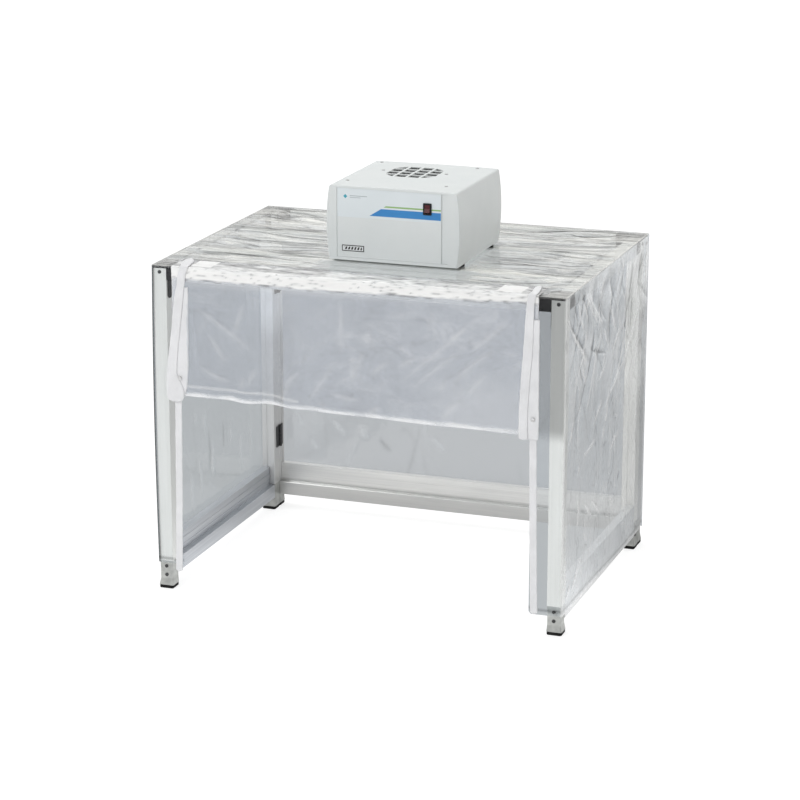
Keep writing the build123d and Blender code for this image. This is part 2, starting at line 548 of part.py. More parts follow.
hub_top = fz_top - 3.0
hub_low = ms + 5.5
hub = Pos(FAN_X, FAN_Y, (hub_top + hub_low) / 2) * Cylinder(27.0, hub_top - hub_low)
hub = fillet(hub.edges().sort_by(Axis.Z)[-1], 3.0)
hub -= Pos(FAN_X, FAN_Y, (hub_low + hub_top - 3) / 2 - 1) * Cylinder(24.0, hub_top - hub_low - 3 + 2)
shaft = Pos(FAN_X, FAN_Y, (hub_top - 1 + ms + 3.5) / 2) * Cylinder(SHAFT_R, hub_top - 1 - ms - 3.5)
imp = hub + shaft
bz0, bz1 = hub_low + 1.0, hub_top - 2.5
limit = Pos(FAN_X, FAN_Y, (bz0 + bz1) / 2) * (Cylinder(BLADE_R, bz1 - bz0) - Cylinder(25.5, bz1 - bz0 + 2))
for k in range(BLADES):
    blade = Pos(FAN_X, FAN_Y, (bz0 + bz1) / 2) * Rot(0, 0, 360 / BLADES * k) * (
        Pos(43, 0, 0) * Rot(38, 0, 0) * Box(40, 36, 2.0))
    imp += blade & limit
nodes["fan_impeller"] = imp

# rocker switch: bezel and body in one, rocker on a cross pivot
SWY = yf + 0.6                      # face that the bezel sits on
bezel = along_y(Pos(SWITCH_X, SWITCH_Z) * RectangleRounded(18.0, 24.6, 1.5), SWY - 2.0, SWY)
body = bx(SWITCH_X - 7.2, SWITCH_X + 7.2, SWY, SWY + 20, SWITCH_Z - 10.5, SWITCH_Z + 10.5)
sw = bezel + body
sw -= bx(SWITCH_X - 5.9, SWITCH_X + 5.9, SWY - 3, SWY + 9, SWITCH_Z - 9.3, SWITCH_Z + 9.3)
PIV_Y = SWY + 3.4
sw -= Pos(SWITCH_X, PIV_Y, SWITCH_Z) * Rot(0, 90, 0) * Cylinder(PIVOT_HOLE_R, 13.4)
for x in (-3.5, 3.5):
    sw += bx(SWITCH_X + x - 0.4, SWITCH_X + x + 0.4, SWY + 19, SWY + 27, SWITCH_Z - 2.4, SWITCH_Z + 2.4)
nodes["switch_body"] = sw

# section of the rocker in (y, z) about its pivot, then leaned to its rest position
reach = 8.1
front_d = 7.0
sect = poly((-front_d + 1.4, -reach), (-front_d, -reach), (-front_d + 1.6, 0), (-front_d, reach),
            (-front_d + 1.4, reach), (0.5, reach - 1.4), (2.6, 2.5), (2.6, -2.5), (0.5, -reach + 1.4))
rocker = along_x(sect, -5.6, 5.6)
rocker += Rot(0, 90, 0) * Cylinder(PIVOT_R, 12.9)
rocker = Pos(SWITCH_X, PIV_Y, SWITCH_Z) * Rot(-ROCKER_TILT, 0, 0) * rocker
nodes["switch_rocker"] = rocker

# mains inlet in the back panel
INY = yb - 0.8
inlet = along_y(Pos(INLET_X, INLET_Z) * RectangleRounded(31.0, 24.0, 2.0), INY, INY + 2.4)
inlet += bx(INLET_X - 13.5, INLET_X + 13.5, INY - 20, INY, INLET_Z - 9.8, INLET_Z + 9.8)
cav = poly((-12, -8), (12, -8), (12, 3.5), (7.5, 8), (-7.5, 8), (-12, 3.5))
inlet -= along_y(Pos(INLET_X, INLET_Z) * cav, INY - 15, INY + 4)
for x, z in ((-7, -1.5), (0, 2.5), (7, -1.5)):
    inlet += bx(INLET_X + x - 1.0, INLET_X + x + 1.0, INY - 16, INY - 1.5, INLET_Z + z - 2, INLET_Z + z + 2)
for x in (-7, 7):
    inlet += bx(INLET_X + x - 0.4, INLET_X + x + 0.4, INY - 28, INY - 19, INLET_Z - 2.4, INLET_Z + 2.4)
nodes["mains_inlet"] = inlet

# leads inside the unit: inlet to switch, switch to fan
lead_a = tube_path([(INLET_X - 7, INY - 28, INLET_Z), (INLET_X - 7, INY - 48, INLET_Z), (108, 25, 815),
                    (113, -15, 811), (111, -60, 814), (SWITCH_X + 3.5, SWY + 50, SWITCH_Z),
                    (SWITCH_X + 3.5, SWY + 27, SWITCH_Z)], 2.2)
lead_b = tube_path([(SWITCH_X - 3.5, SWY + 27, SWITCH_Z), (SWITCH_X - 3.5, SWY + 46, SWITCH_Z), (86, -88, 820),
                    (64, -58, 811), (42, -28, 806), (26, -4, 809), (FAN_X + 7, FAN_Y - 6, 816),
                    (FAN_X + 7, FAN_Y - 6, fz_low)], 2.2)
nodes["unit_leads"] = group([lead_a, lead_b])

# screws of the unit: four through the cover, two through the fan's ears


def top_at(x, reach=3.6):
    """Height of the crowned cover top under a screw head."""
    return UNIT_TOP - 1.2 * (max(0.0, abs(x - UX) - reach) / (140.6 - TOP_EDGE_R)) ** 2 + 0.02


unit_screws = [screw(x, y, top_at(x), (0, 0, 1), head_r=3.6, head_h=1.4, length=8)
               for x, y in COVER_SCREWS]
unit_screws += [screw(FAN_X + s * FAN_EAR, FAN_Y, top_at(FAN_X + s * FAN_EAR), (0, 0, 1), head_r=3.6,
                      head_h=1.4, length=9) for s in (-1, 1)]
nodes["unit_screws"] = group(unit_screws)

# ------------------------------------------------------------------ write
for name, shape in nodes.items():
    export_step(shape, "parts/" + name + ".step")
print(len(nodes), "nodes")
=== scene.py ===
import math

import bpy
import numpy as np
from mathutils import Matrix, Vector


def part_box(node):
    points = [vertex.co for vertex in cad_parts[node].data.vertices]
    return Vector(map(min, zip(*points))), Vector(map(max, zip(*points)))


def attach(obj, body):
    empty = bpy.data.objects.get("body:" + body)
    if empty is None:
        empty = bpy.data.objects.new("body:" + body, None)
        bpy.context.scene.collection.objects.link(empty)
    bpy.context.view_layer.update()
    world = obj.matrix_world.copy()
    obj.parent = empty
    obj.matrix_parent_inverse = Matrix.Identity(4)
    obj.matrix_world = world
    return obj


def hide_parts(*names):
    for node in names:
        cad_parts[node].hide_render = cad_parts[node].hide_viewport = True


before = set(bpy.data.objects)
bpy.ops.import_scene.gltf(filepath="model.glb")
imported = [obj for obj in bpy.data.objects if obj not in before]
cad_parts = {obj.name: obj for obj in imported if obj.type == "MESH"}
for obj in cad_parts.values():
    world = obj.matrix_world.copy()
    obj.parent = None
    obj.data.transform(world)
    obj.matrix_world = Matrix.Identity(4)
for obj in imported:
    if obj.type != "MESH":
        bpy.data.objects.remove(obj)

MM = 0.001
KEY, TOP, RIM = 52.0, 36.0, 18.0
WORLD_POWER = 0.68
WORLD_HEIGHT = [(0.0, 0.60), (0.10, 0.50), (0.17, 0.48), (0.225, 0.90), (0.29, 1.55), (0.40, 1.35), (0.52, 0.75), (0.70, 0.90), (1.0, 0.85)]
WORLD_SIDE = [(0.0, 1.15), (0.5, 1.0), (0.70, 0.78), (1.0, 0.66)]
FLOOR_NEAR, FLOOR_FAR, FLOOR_BEHIND = 0.74, 1.00, 0.52
# light that the ground gives back, from 3 m in front of the booth to 5 m behind it
FLOOR_BOUNCE = [(0.0, 1.0), (0.15, 1.15), (0.36, 1.15), (0.40, 0.66), (0.475, 0.46), (0.55, 0.42), (0.61, 0.66), (0.67, 0.40), (0.75, 1.0), (1.0, 1.0)]
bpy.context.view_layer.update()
scene = bpy.context.scene

# ------------------------------------------------------------------ camera
cam_data = bpy.data.cameras.new("camera")
cam_data.sensor_fit = "HORIZONTAL"
cam_data.sensor_width = 36.0
cam_data.lens = 122.41
cam_data.clip_start, cam_data.clip_end = 0.1, 200.0
camera = bpy.data.objects.new("camera", cam_data)
scene.collection.objects.link(camera)
right = Vector((0.9427, 0.3337, 0.0)).normalized()
back = Vector((0.3212, -0.9074, 0.2712)).normalized()
up = back.cross(right).normalized()
right = up.cross(back).normalized()
camera.matrix_world = Matrix((
    (right.x, up.x, back.x, 1.877),
    (right.y, up.y, back.y, -5.343),
    (right.z, up.z, back.z, 1.970),
    (0, 0, 0, 1)))
scene.camera = camera


# ------------------------------------------------------------------ noise
class Noise:
    """Seeded gradient, value and facet noise on arrays."""

    def __init__(self, seed):
        rng = np.random.RandomState(seed)
        self.perm = np.concatenate([rng.permutation(256)] * 3)
        ang = rng.uniform(0, 2 * np.pi, 256)
        self.grad = np.stack([np.cos(ang), np.sin(ang)], -1)
        self.val = rng.uniform(-1, 1, 256)

    def hash(self, i, j):
        return self.perm[(self.perm[i & 255] + (j & 255)) & 511]

    def perlin(self, x, y):
        x, y = np.broadcast_arrays(np.asarray(x, float), np.asarray(y, float))
        i, j = np.floor(x).astype(int), np.floor(y).astype(int)
        fx, fy = x - i, y - j
        u, v = fx * fx * fx * (fx * (fx * 6 - 15) + 10), fy * fy * fy * (fy * (fy * 6 - 15) + 10)

        def dot(di, dj):
            g = self.grad[self.hash(i + di, j + dj) & 255]
            return g[..., 0] * (fx - di) + g[..., 1] * (fy - dj)
        a = dot(0, 0) * (1 - u) + dot(1, 0) * u
        b = dot(0, 1) * (1 - u) + dot(1, 1) * u
        return (a * (1 - v) + b * v) * 1.5

    def fbm(self, x, y, octaves=3, gain=0.5):
        s, a = 0.0, 1.0
        for k in range(octaves):
            s = s + a * self.perlin(x * 2 ** k + 17.3 * k, y * 2 ** k + 9.1 * k)
            a *= gain
        return s

    def ridged(self, x, y, power=1.5):
        """Sharp crests, 0 to 1."""
        return np.clip(1 - np.abs(self.perlin(x, y)) * 1.6, 0, 1) ** power

    def facet(self, x, y):
        """Flat facets meeting at creases, about -1 to 1."""
        x, y = np.broadcast_arrays(np.asarray(x, float), np.asarray(y, float))
        wx = x + 0.35 * self.perlin(x * 0.8 + 31, y * 0.8)
        wy = y + 0.35 * self.perlin(x * 0.8, y * 0.8 + 57)
        s = (wx + wy) * 0.36602540378
        sx, sy = wx + s, wy + s
        i, j = np.floor(sx).astype(int), np.floor(sy).astype(int)
        fx, fy = sx - i, sy - j
        upper = fx > fy
        v00 = self.val[self.hash(i, j) & 255]
        v11 = self.val[self.hash(i + 1, j + 1) & 255]
        v10 = self.val[self.hash(i + 1, j) & 255]
        v01 = self.val[self.hash(i, j + 1) & 255]
        a = v00 + (v10 - v00) * fx + (v11 - v10) * fy
        b = v00 + (v11 - v01) * fx + (v01 - v00) * fy
        return np.where(upper, a, b)


def smooth(e0, e1, x):
    t = np.clip((x - e0) / (e1 - e0), 0, 1)
    return t * t * (3 - 2 * t)


def band(x, a, b, soft):
    """1 between a and b, falling to 0 over soft outside."""
    return smooth(a - soft, a, x) * (1 - smooth(b, b + soft, x))


# ------------------------------------------------------------------ mesh code
def link(obj, body="booth"):
    scene.collection.objects.link(obj)
    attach(obj, body)
    return obj


def raw_mesh(name, verts, faces, mat, body="booth", flat=False, attrs=None):
    me = bpy.data.meshes.new(name)
    me.from_pydata([tuple(v) for v in verts], [], faces)
    me.update()
    if not flat:
        me.polygons.foreach_set("use_smooth", np.ones(len(me.polygons), bool))
    for key, values in (attrs or {}).items():
        a = me.attributes.new(key, "FLOAT", "POINT")
        a.data.foreach_set("value", np.asarray(values, np.float32))
    me.materials.append(mat)
    obj = bpy.data.objects.new(name, me)
    return link(obj, body)


def grid_normals(P):
    du = np.gradient(P, axis=0)
    dv = np.gradient(P, axis=1)
    n = np.cross(du, dv)
    return n / np.maximum(np.linalg.norm(n, axis=2, keepdims=True), 1e-12)


def shell(name, P, thick, mat, cells=None, attrs=None, flip=False, body="booth"):
    """Closed thin sheet about a grid of points P[i, j] in metres; cells[i, j] says which grid cells exist."""
    nu, nv = P.shape[:2]
    if cells is None:
        cells = np.ones((nu - 1, nv - 1), bool)
    n = grid_normals(P) * (-1 if flip else 1)
    top, low = P + n * thick / 2, P - n * thick / 2
    verts = np.concatenate([top.reshape(-1, 3), low.reshape(-1, 3)])
    off = nu * nv
    I, J = np.nonzero(cells)
    a, b, c, d = I * nv + J, (I + 1) * nv + J, (I + 1) * nv + J + 1, I * nv + J + 1
    quads = [np.stack([a, b, c, d], 1), np.stack([d, c, b, a], 1) + off]
    pad = np.pad(cells, 1)
    for di, dj, e0, e1 in ((-1, 0, d, a), (1, 0, b, c), (0, -1, a, b), (0, 1, c, d)):
        rim = ~pad[I + 1 + di, J + 1 + dj]
        quads.append(np.stack([e1[rim], e0[rim], e0[rim] + off, e1[rim] + off], 1))
    quads = np.concatenate(quads)
    if flip:
        quads = quads[:, ::-1]
    used = np.zeros(len(verts), bool)
    used[quads.ravel()] = True
    remap = np.cumsum(used) - 1
    data = {k: np.concatenate([np.asarray(v, float).ravel()] * 2)[used] for k, v in (attrs or {}).items()}
    return raw_mesh(name, verts[used], remap[quads].tolist(), mat, body=body, attrs=data)


# ------------------------------------------------------------------ material helpers
class Tree:
    def __init__(self, name):
        self.mat = bpy.data.materials.new(name)
        self.mat.use_nodes = True
        self.nt = self.mat.node_tree
        self.nt.nodes.clear()
        self.out = self.nt.nodes.new("ShaderNodeOutputMaterial")

    def node(self, kind, props=None, **inputs):
        n = self.nt.nodes.new(kind)
        for k, v in (props or {}).items():
            setattr(n, k, v)
        for k, v in inputs.items():
            key = k.replace("_", " ") if not k.startswith("i") or not k[1:].isdigit() else int(k[1:])
            if isinstance(v, bpy.types.NodeSocket):
                self.nt.links.new(v, n.inputs[key])
            else:
                n.inputs[key].default_value = v
        return n

    def coords(self, scale=(1, 1, 1), kind="Object"):
        tc = self.node("ShaderNodeTexCoord")
        mp = self.node("ShaderNodeMapping", Vector=tc.outputs[kind])
        mp.inputs["Scale"].default_value = scale
        return mp.outputs["Vector"]

    def noise(self, vec, scale, detail=3.0, rough=0.5, distort=0.0):
        n = self.node("ShaderNodeTexNoise", Vector=vec, Scale=scale, Detail=detail, Roughness=rough)
        n.inputs["Distortion"].default_value = distort
        return n.outputs["Fac"]

    def ramp(self, fac, stops, interp="LINEAR"):
        r = self.node("ShaderNodeValToRGB", Fac=fac)
        cr = r.color_ramp
        cr.interpolation = interp
        while len(cr.elements) < len(stops):
            cr.elements.new(0.5)
        for e, (p, c) in zip(cr.elements, stops):
            e.position = p
            e.color = (c, c, c, 1) if isinstance(c, (int, float)) else (*c, 1)
        return r.outputs["Color"]

    def math(self, op, a, b=0.0, clamp=False):
        m = self.node("ShaderNodeMath", {"operation": op, "use_clamp": clamp}, i0=a, i1=b)
        return m.outputs[0]

    def mix(self, fac, a, b):
        m = self.node("ShaderNodeMix", {"data_type": "RGBA"})
        for sock, v in ((m.inputs[0], fac), (m.inputs[6], a), (m.inputs[7], b)):
            if isinstance(v, bpy.types.NodeSocket):
                self.nt.links.new(v, sock)
            else:
                sock.default_value = v if isinstance(v, (int, float)) else (*v, 1)
        return m.outputs[2]

    def bump(self, height, strength=0.2, distance=0.001, normal=None):
        b = self.node("ShaderNodeBump", Height=height, Strength=strength, Distance=distance)
        if normal is not None:
            self.nt.links.new(normal, b.inputs["Normal"])
        return b.outputs["Normal"]

    def finish(self, shader):
        self.nt.links.new(shader, self.out.inputs["Surface"])
        return self.mat


def principled(t, color, rough, metallic=0.0, normal=None, spec=0.5, coat=0.0, coat_rough=0.1, sheen=0.0,
               transmission=0.0):
    p = t.node("ShaderNodeBsdfPrincipled")
    for key, v in (("Base Color", color), ("Roughness", rough), ("Metallic", metallic), ("Normal", normal)):
        if v is None:
            continue
        if isinstance(v, bpy.types.NodeSocket):
            t.nt.links.new(v, p.inputs[key])
        elif key == "Base Color":
            p.inputs[key].default_value = (*v, 1)
        else:
            p.inputs[key].default_value = v
    p.inputs["Specular IOR Level"].default_value = spec
    p.inputs["Coat Weight"].default_value = coat
    p.inputs["Coat Roughness"].default_value = coat_rough
    p.inputs["Sheen Weight"].default_value = sheen
    p.inputs["Transmission Weight"].default_value = transmission
    return p.outputs[0]


# ------------------------------------------------------------------ materials
def aluminium(name, axis, lo=(0.70, 0.705, 0.70), hi=(0.82, 0.82, 0.80), rough=(0.30, 0.42), metallic=0.85,
              low_band_shade=None, lit=None):
    """Satin anodised extrusion: die lines run along the profile, with faint handling marks. One option paints shade as
    a darker band low down, another paints light as a colour that grows lighter with height.
    """
    t = Tree(name)
    s = {"x": (3, 500, 500), "y": (500, 3, 500), "z": (500, 500, 3)}[axis]
    lines = t.noise(t.coords(s), 1.0, 2.0, 0.6)
    broad = t.noise(t.coords(tuple(6 if v == 3 else 40 for v in s)), 1.0, 3.0)
    marks = t.noise(t.coords((1, 1, 1)), 55.0, 6.0, 0.7)
    tone = t.math("ADD", t.math("MULTIPLY", lines, 0.6), t.math("MULTIPLY", broad, 0.4))
    color = t.ramp(tone, [(0.30, lo), (0.68, hi)])
    # painted shade: the colour is darker below about 65 mm, on the lower band of the bottom rails
    if low_band_shade:
        z = t.node("ShaderNodeSeparateXYZ", Vector=t.coords()).outputs["Z"]
        low = t.ramp(t.math("MULTIPLY", z, 5.0), [(0.32, low_band_shade), (0.345, 1.0)])
        color = t.node("ShaderNodeVectorMath", {"operation": "MULTIPLY"}, i0=color, i1=low).outputs["Vector"]
    # painted light: the colour is darker below about 0.40 m and full above about 0.47 m, for light falling from above
    if lit:
        z = t.node("ShaderNodeSeparateXYZ", Vector=t.coords()).outputs["Z"]
        low = t.ramp(z, [(lit[0], lit[2]), (lit[1], 1.0)])
        color = t.node("ShaderNodeVectorMath", {"operation": "MULTIPLY"}, i0=color, i1=low).outputs["Vector"]
    dust = t.ramp(marks, [(0.62, 0.0), (0.80, 1.0)])
    r = t.ramp(tone, [(0.3, rough[1]), (0.7, rough[0])])
    r = t.mix(dust, r, (rough[1] + 0.12,) * 3)
    nrm = t.bump(lines, 0.12, 0.0004)
    return t.finish(principled(t, color, r, metallic, nrm))


def cast_metal():
    t = Tree("cast_metal")
    grain = t.noise(t.coords(), 900.0, 3.0, 0.7)
    broad = t.noise(t.coords(), 60.0, 4.0, 0.6)
    color = t.ramp(broad, [(0.3, (0.36, 0.37, 0.36)), (0.7, (0.52, 0.53, 0.51))])
    r = t.ramp(broad, [(0.3, 0.50), (0.7, 0.36)])
    return t.finish(principled(t, color, r, 0.8, t.bump(grain, 0.18, 0.0004)))


def moulding(name, color, spread=0.35, rough=(0.42, 0.58), grain=1400.0, spec=0.5, coat=0.0):
    t = Tree(name)
    fine = t.noise(t.coords(), grain, 2.0, 0.6)
    broad = t.noise(t.coords(), 45.0, 4.0, 0.6)
    lo = tuple(c * (1 - spread) for c in color)
    hi = tuple(min(1, c * (1 + spread)) for c in color)
    col = t.ramp(broad, [(0.3, lo), (0.7, hi)])
    r = t.ramp(broad, [(0.3, rough[1]), (0.7, rough[0])])
    return t.finish(principled(t, col, r, 0.0, t.bump(fine, 0.15, 0.0003), spec=spec, coat=coat))


def plated():
    """Bright zinc plate with a slight yellow and blue cast."""
    t = Tree("zinc_plate")
    broad = t.noise(t.coords(), 180.0, 4.0, 0.6)
    color = t.ramp(broad, [(0.3, (0.50, 0.50, 0.47)), (0.5, (0.62, 0.62, 0.62)), (0.72, (0.66, 0.68, 0.72))])
    r = t.ramp(broad, [(0.3, 0.38), (0.7, 0.24)])
    return t.finish(principled(t, color, r, 0.9, t.bump(broad, 0.1, 0.0003)))


def unit_paint():
    """Light grey textured enamel."""
    t = Tree("unit_paint")
    fine = t.noise(t.coords(), 1500.0, 2.0, 0.55)
    cells = t.node("ShaderNodeTexVoronoi", {"feature": "SMOOTH_F1"}, Vector=t.coords(), Scale=900.0)
    broad = t.noise(t.coords(), 9.0, 4.0, 0.6)
    color = t.ramp(broad, [(0.30, (0.665, 0.697, 0.695)), (0.70, (0.70, 0.728, 0.724))])
    specks = t.ramp(fine, [(0.60, 0.0), (0.75, 1.0)])
    color = t.mix(t.math("MULTIPLY", specks, 0.10), color, (0.80, 0.82, 0.81))
    r = t.ramp(broad, [(0.3, 0.46), (0.7, 0.38)])
    height = t.math("ADD", fine, cells.outputs["Distance"])
    return t.finish(principled(t, color, r, 0.0, t.bump(height, 0.10, 0.0003), spec=0.4))


def film(name, tint, haze, body=(0.80, 0.83, 0.86), gloss=0.08, streak=(2, 2, 2), streak_amt=0.5, ior=1.45,
         ripple=0.25, lines=None, light=0.0, crease_line_shade=0.0):
    """Clear soft film: see-through, with a mirror gloss that grows at a glance. Two surface values shape it:
    one whitens hems and scuffs and paints highlights on the crests of folds, the other paints shade in the depth of a
    crease."""
    t = Tree(name)
    streaks = t.noise(t.coords(streak), 1.0, 4.0, 0.6, 0.6)
    cloud = t.noise(t.coords(), 7.0, 4.0, 0.6)
    fine = t.noise(t.coords(), 38.0, 2.0, 0.5, 0.3)
    attr = t.node("ShaderNodeAttribute", {"attribute_name": "haze"}).outputs["Fac"]
    dark = t.node("ShaderNodeAttribute", {"attribute_name": "shade"}).outputs["Fac"]
    s = t.ramp(streaks, [(0.45, 0.0), (0.70, 1.0)])
    c = t.ramp(cloud, [(0.35, 0.70), (0.65, 1.0)])
    h = t.math("MULTIPLY", t.math("ADD", t.math("MULTIPLY", s, streak_amt * haze), haze), c)
    if lines:
        quiet = t.node("ShaderNodeAttribute", {"attribute_name": "quiet"}).outputs["Fac"]
        # fine creases: thin lines of painted highlight and painted shade that run with the film's folds
        thin = t.noise(t.coords(lines), 1.0, 3.0, 0.55, 0.7)
        where = t.ramp(t.noise(t.coords(tuple(v * 0.35 for v in lines)), 1.0, 2.0), [(0.42, 0.0), (0.62, 1.0)])
        where = t.math("MULTIPLY", where, t.math("SUBTRACT", 1.0, quiet))
        up_line = t.math("MULTIPLY", t.ramp(thin, [(0.535, 0.0), (0.555, 1.0), (0.585, 0.0)]), where)
        dn_line = t.math("MULTIPLY", t.ramp(thin, [(0.425, 0.0), (0.445, 1.0), (0.462, 0.0)]), where)
        h = t.math("ADD", h, t.math("MULTIPLY", up_line, light))
        dark = t.math("ADD", dark, t.math("MULTIPLY", dn_line, crease_line_shade), clamp=True)
    h = t.math("ADD", h, attr, clamp=True)
    nrm = t.bump(fine, ripple, 0.002)
    rough = t.ramp(cloud, [(0.35, gloss * 0.7), (0.65, gloss * 1.4)])
    facing = t.node("ShaderNodeLayerWeight", Blend=0.5, Normal=nrm).outputs["Facing"]
    f0 = ((ior - 1) / (ior + 1)) ** 2
    fres = t.math("ADD", t.math("MULTIPLY", t.math("POWER", facing, 5.0), 1 - f0), f0, clamp=True)
    see = t.mix(dark, tint, tuple(c * 0.22 for c in tint))
    clear = t.node("ShaderNodeBsdfTransparent", Color=see).outputs[0]
    mirror = t.node("ShaderNodeBsdfGlossy", Color=(1, 1, 1, 1), Roughness=rough, Normal=nrm).outputs[0]
    pane = t.node("ShaderNodeMixShader", Fac=fres, i1=clear, i2=mirror).outputs[0]
    milk = principled(t, body, 0.35, 0.0, nrm, spec=0.3)
    return t.finish(t.node("ShaderNodeMixShader", Fac=h, i1=pane, i2=milk).outputs[0])


def woven(name, color=(0.86, 0.865, 0.88), see=0.12):
    """Woven white tape, slightly see-through, with a fine plain weave."""
    t = Tree(name)
    v = t.coords()
    wx = t.node("ShaderNodeTexWave", {"wave_type": "BANDS", "bands_direction": "X", "wave_profile": "SIN"},
                Vector=v, Scale=300.0, Distortion=0.4)
    wz = t.node("ShaderNodeTexWave", {"wave_type": "BANDS", "bands_direction": "Z", "wave_profile": "SIN"},
                Vector=v, Scale=300.0, Distortion=0.4)
    weave = t.math("ADD", wx.outputs["Fac"], wz.outputs["Fac"])
    fuzz = t.noise(v, 400.0, 4.0, 0.7)
    broad = t.noise(v, 30.0, 4.0, 0.6)
    lo = tuple(c * 0.90 for c in color)
    col = t.ramp(broad, [(0.3, lo), (0.65, color)])
    col = t.mix(t.math("MULTIPLY", fuzz, 0.12), col, (0.95, 0.95, 0.97))
    h = t.math("ADD", weave, t.math("MULTIPLY", fuzz, 1.5))
    cloth = principled(t, col, 0.8, 0.0, t.bump(h, 0.35, 0.0004), spec=0.25, sheen=0.3)
    gap = t.ramp(weave, [(0.2, see * 1.8), (1.2, see * 0.4)])
    clear = t.node("ShaderNodeBsdfTransparent", Color=(1, 1, 1, 1)).outputs[0]
    return t.finish(t.node("ShaderNodeMixShader", Fac=gap, i1=cloth, i2=clear).outputs[0])


M = {}
M["alu_z"] = aluminium("aluminium_z", "z", (0.80, 0.79, 0.75), (0.90, 0.885, 0.845), metallic=0.50)
# painted light and shade: the back posts are lighter up high and darker low down
M["alu_back"] = aluminium("aluminium_back_painted_light", "z", (0.80, 0.815, 0.82), (0.92, 0.92, 0.91), metallic=0.45, lit=(0.40, 0.47, 0.66))
# painted shade: the rails along x are darker on their lower band
M["alu_x"] = aluminium("aluminium_x", "x", low_band_shade=0.80)
M["alu_y"] = aluminium("aluminium_y", "y", (0.70, 0.71, 0.72), (0.80, 0.81, 0.81), metallic=0.6)
# painted shade: a darker copy of the aluminium for the left rails, whose faces lie in shade
M["alu_left_shaded"] = aluminium("aluminium_left_shaded", "y", (0.44, 0.465, 0.50), (0.58, 0.60, 0.63))
M["cast"] = cast_metal()
M["black"] = moulding("black_moulding", (0.007, 0.007, 0.008), 0.4, (0.40, 0.56), spec=0.25)
M["rubber"] = moulding("sole_rubber", (0.006, 0.006, 0.006), 0.4, (0.62, 0.80), 900.0, 0.2)
M["hinge"] = moulding("hinge_steel", (0.020, 0.021, 0.022), 0.5, (0.30, 0.45), 700.0, 0.4)
M["zinc"] = plated()
M["screw"] = moulding("screw_steel", (0.035, 0.035, 0.036), 0.5, (0.26, 0.40), 500.0, 0.6)
M["paint"] = unit_paint()
M["gasket"] = moulding("gasket_foam", (0.12, 0.12, 0.12), 0.3, (0.7, 0.85), 500.0, 0.3)
M["paper"] = moulding("filter_paper", (0.82, 0.82, 0.78), 0.06, (0.75, 0.9), 600.0, 0.3)
M["fan"] = moulding("fan_black", (0.007, 0.007, 0.008), 0.4, (0.45, 0.6), 1200.0, 0.3)
M["motor"] = moulding("motor_steel", (0.14, 0.10, 0.07), 0.5, (0.35, 0.5), 300.0)
M["lead"] = moulding("lead_sheath", (0.025, 0.025, 0.025), 0.4, (0.45, 0.6), 800.0)
M["tape"] = woven("white_tape")


def label_sheet():
    """White sheet with a blue field that has a slanted left end and a thin green stripe above it."""
    t = Tree("label_sheet")
    tc = t.node("ShaderNodeTexCoord")
    sep = t.node("ShaderNodeSeparateXYZ", Vector=tc.outputs["Object"])
    x, z = sep.outputs["X"], sep.outputs["Z"]

    def step(v, at, w=0.0003):
        m = t.node("ShaderNodeMapRange", Value=v)
        m.inputs["From Min"].default_value, m.inputs["From Max"].default_value = at - w, at + w
        return m.outputs[0]

    def inside(v, a, b):
        return t.math("SUBTRACT", step(v, a), step(v, b))
    slant = t.math("SUBTRACT", x, t.math("MULTIPLY", z, 1.6))      # x minus 1.6 z: slanted left ends
    blue = t.math("MULTIPLY", inside(z, 0.8105, 0.8265), step(slant, -0.012 - 1.6 * 0.8185))
    green = t.math("MULTIPLY", inside(z, 0.8300, 0.8332), step(slant, -0.012 - 1.6 * 0.8185))
    broad = t.noise(t.coords(), 12.0, 3.0)
    paper = t.ramp(broad, [(0.3, (0.685, 0.735, 0.755)), (0.7, (0.705, 0.755, 0.775))])
    fine = t.noise(t.coords(), 700.0, 2.0)
    shade = t.ramp(broad, [(0.3, (0.022, 0.20, 0.50)), (0.7, (0.028, 0.225, 0.54))])
    col = t.mix(blue, paper, shade)
    col = t.mix(green, col, (0.26, 0.44, 0.15))
    # plain marks at the upper left: a small teal lozenge and two thin grey bars
    dx = t.math("ABSOLUTE", t.math("SUBTRACT", x, -0.078))
    dz = t.math("ABSOLUTE", t.math("SUBTRACT", z, 0.8485))
    lozenge = t.math("SUBTRACT", 1.0, step(t.math("ADD", dx, dz), 0.0046))
    bars = t.math("ADD", t.math("MULTIPLY", inside(z, 0.8496, 0.8508), inside(x, -0.068, -0.030)),
                  t.math("MULTIPLY", inside(z, 0.8462, 0.8472), inside(x, -0.068, -0.044)))
    col = t.mix(lozenge, col, (0.05, 0.36, 0.46))
    col = t.mix(bars, col, (0.30, 0.34, 0.36))
    return t.finish(principled(t, col, t.ramp(broad, [(0.3, 0.34), (0.7, 0.28)]), 0.0, t.bump(fine, 0.05, 0.0002)))


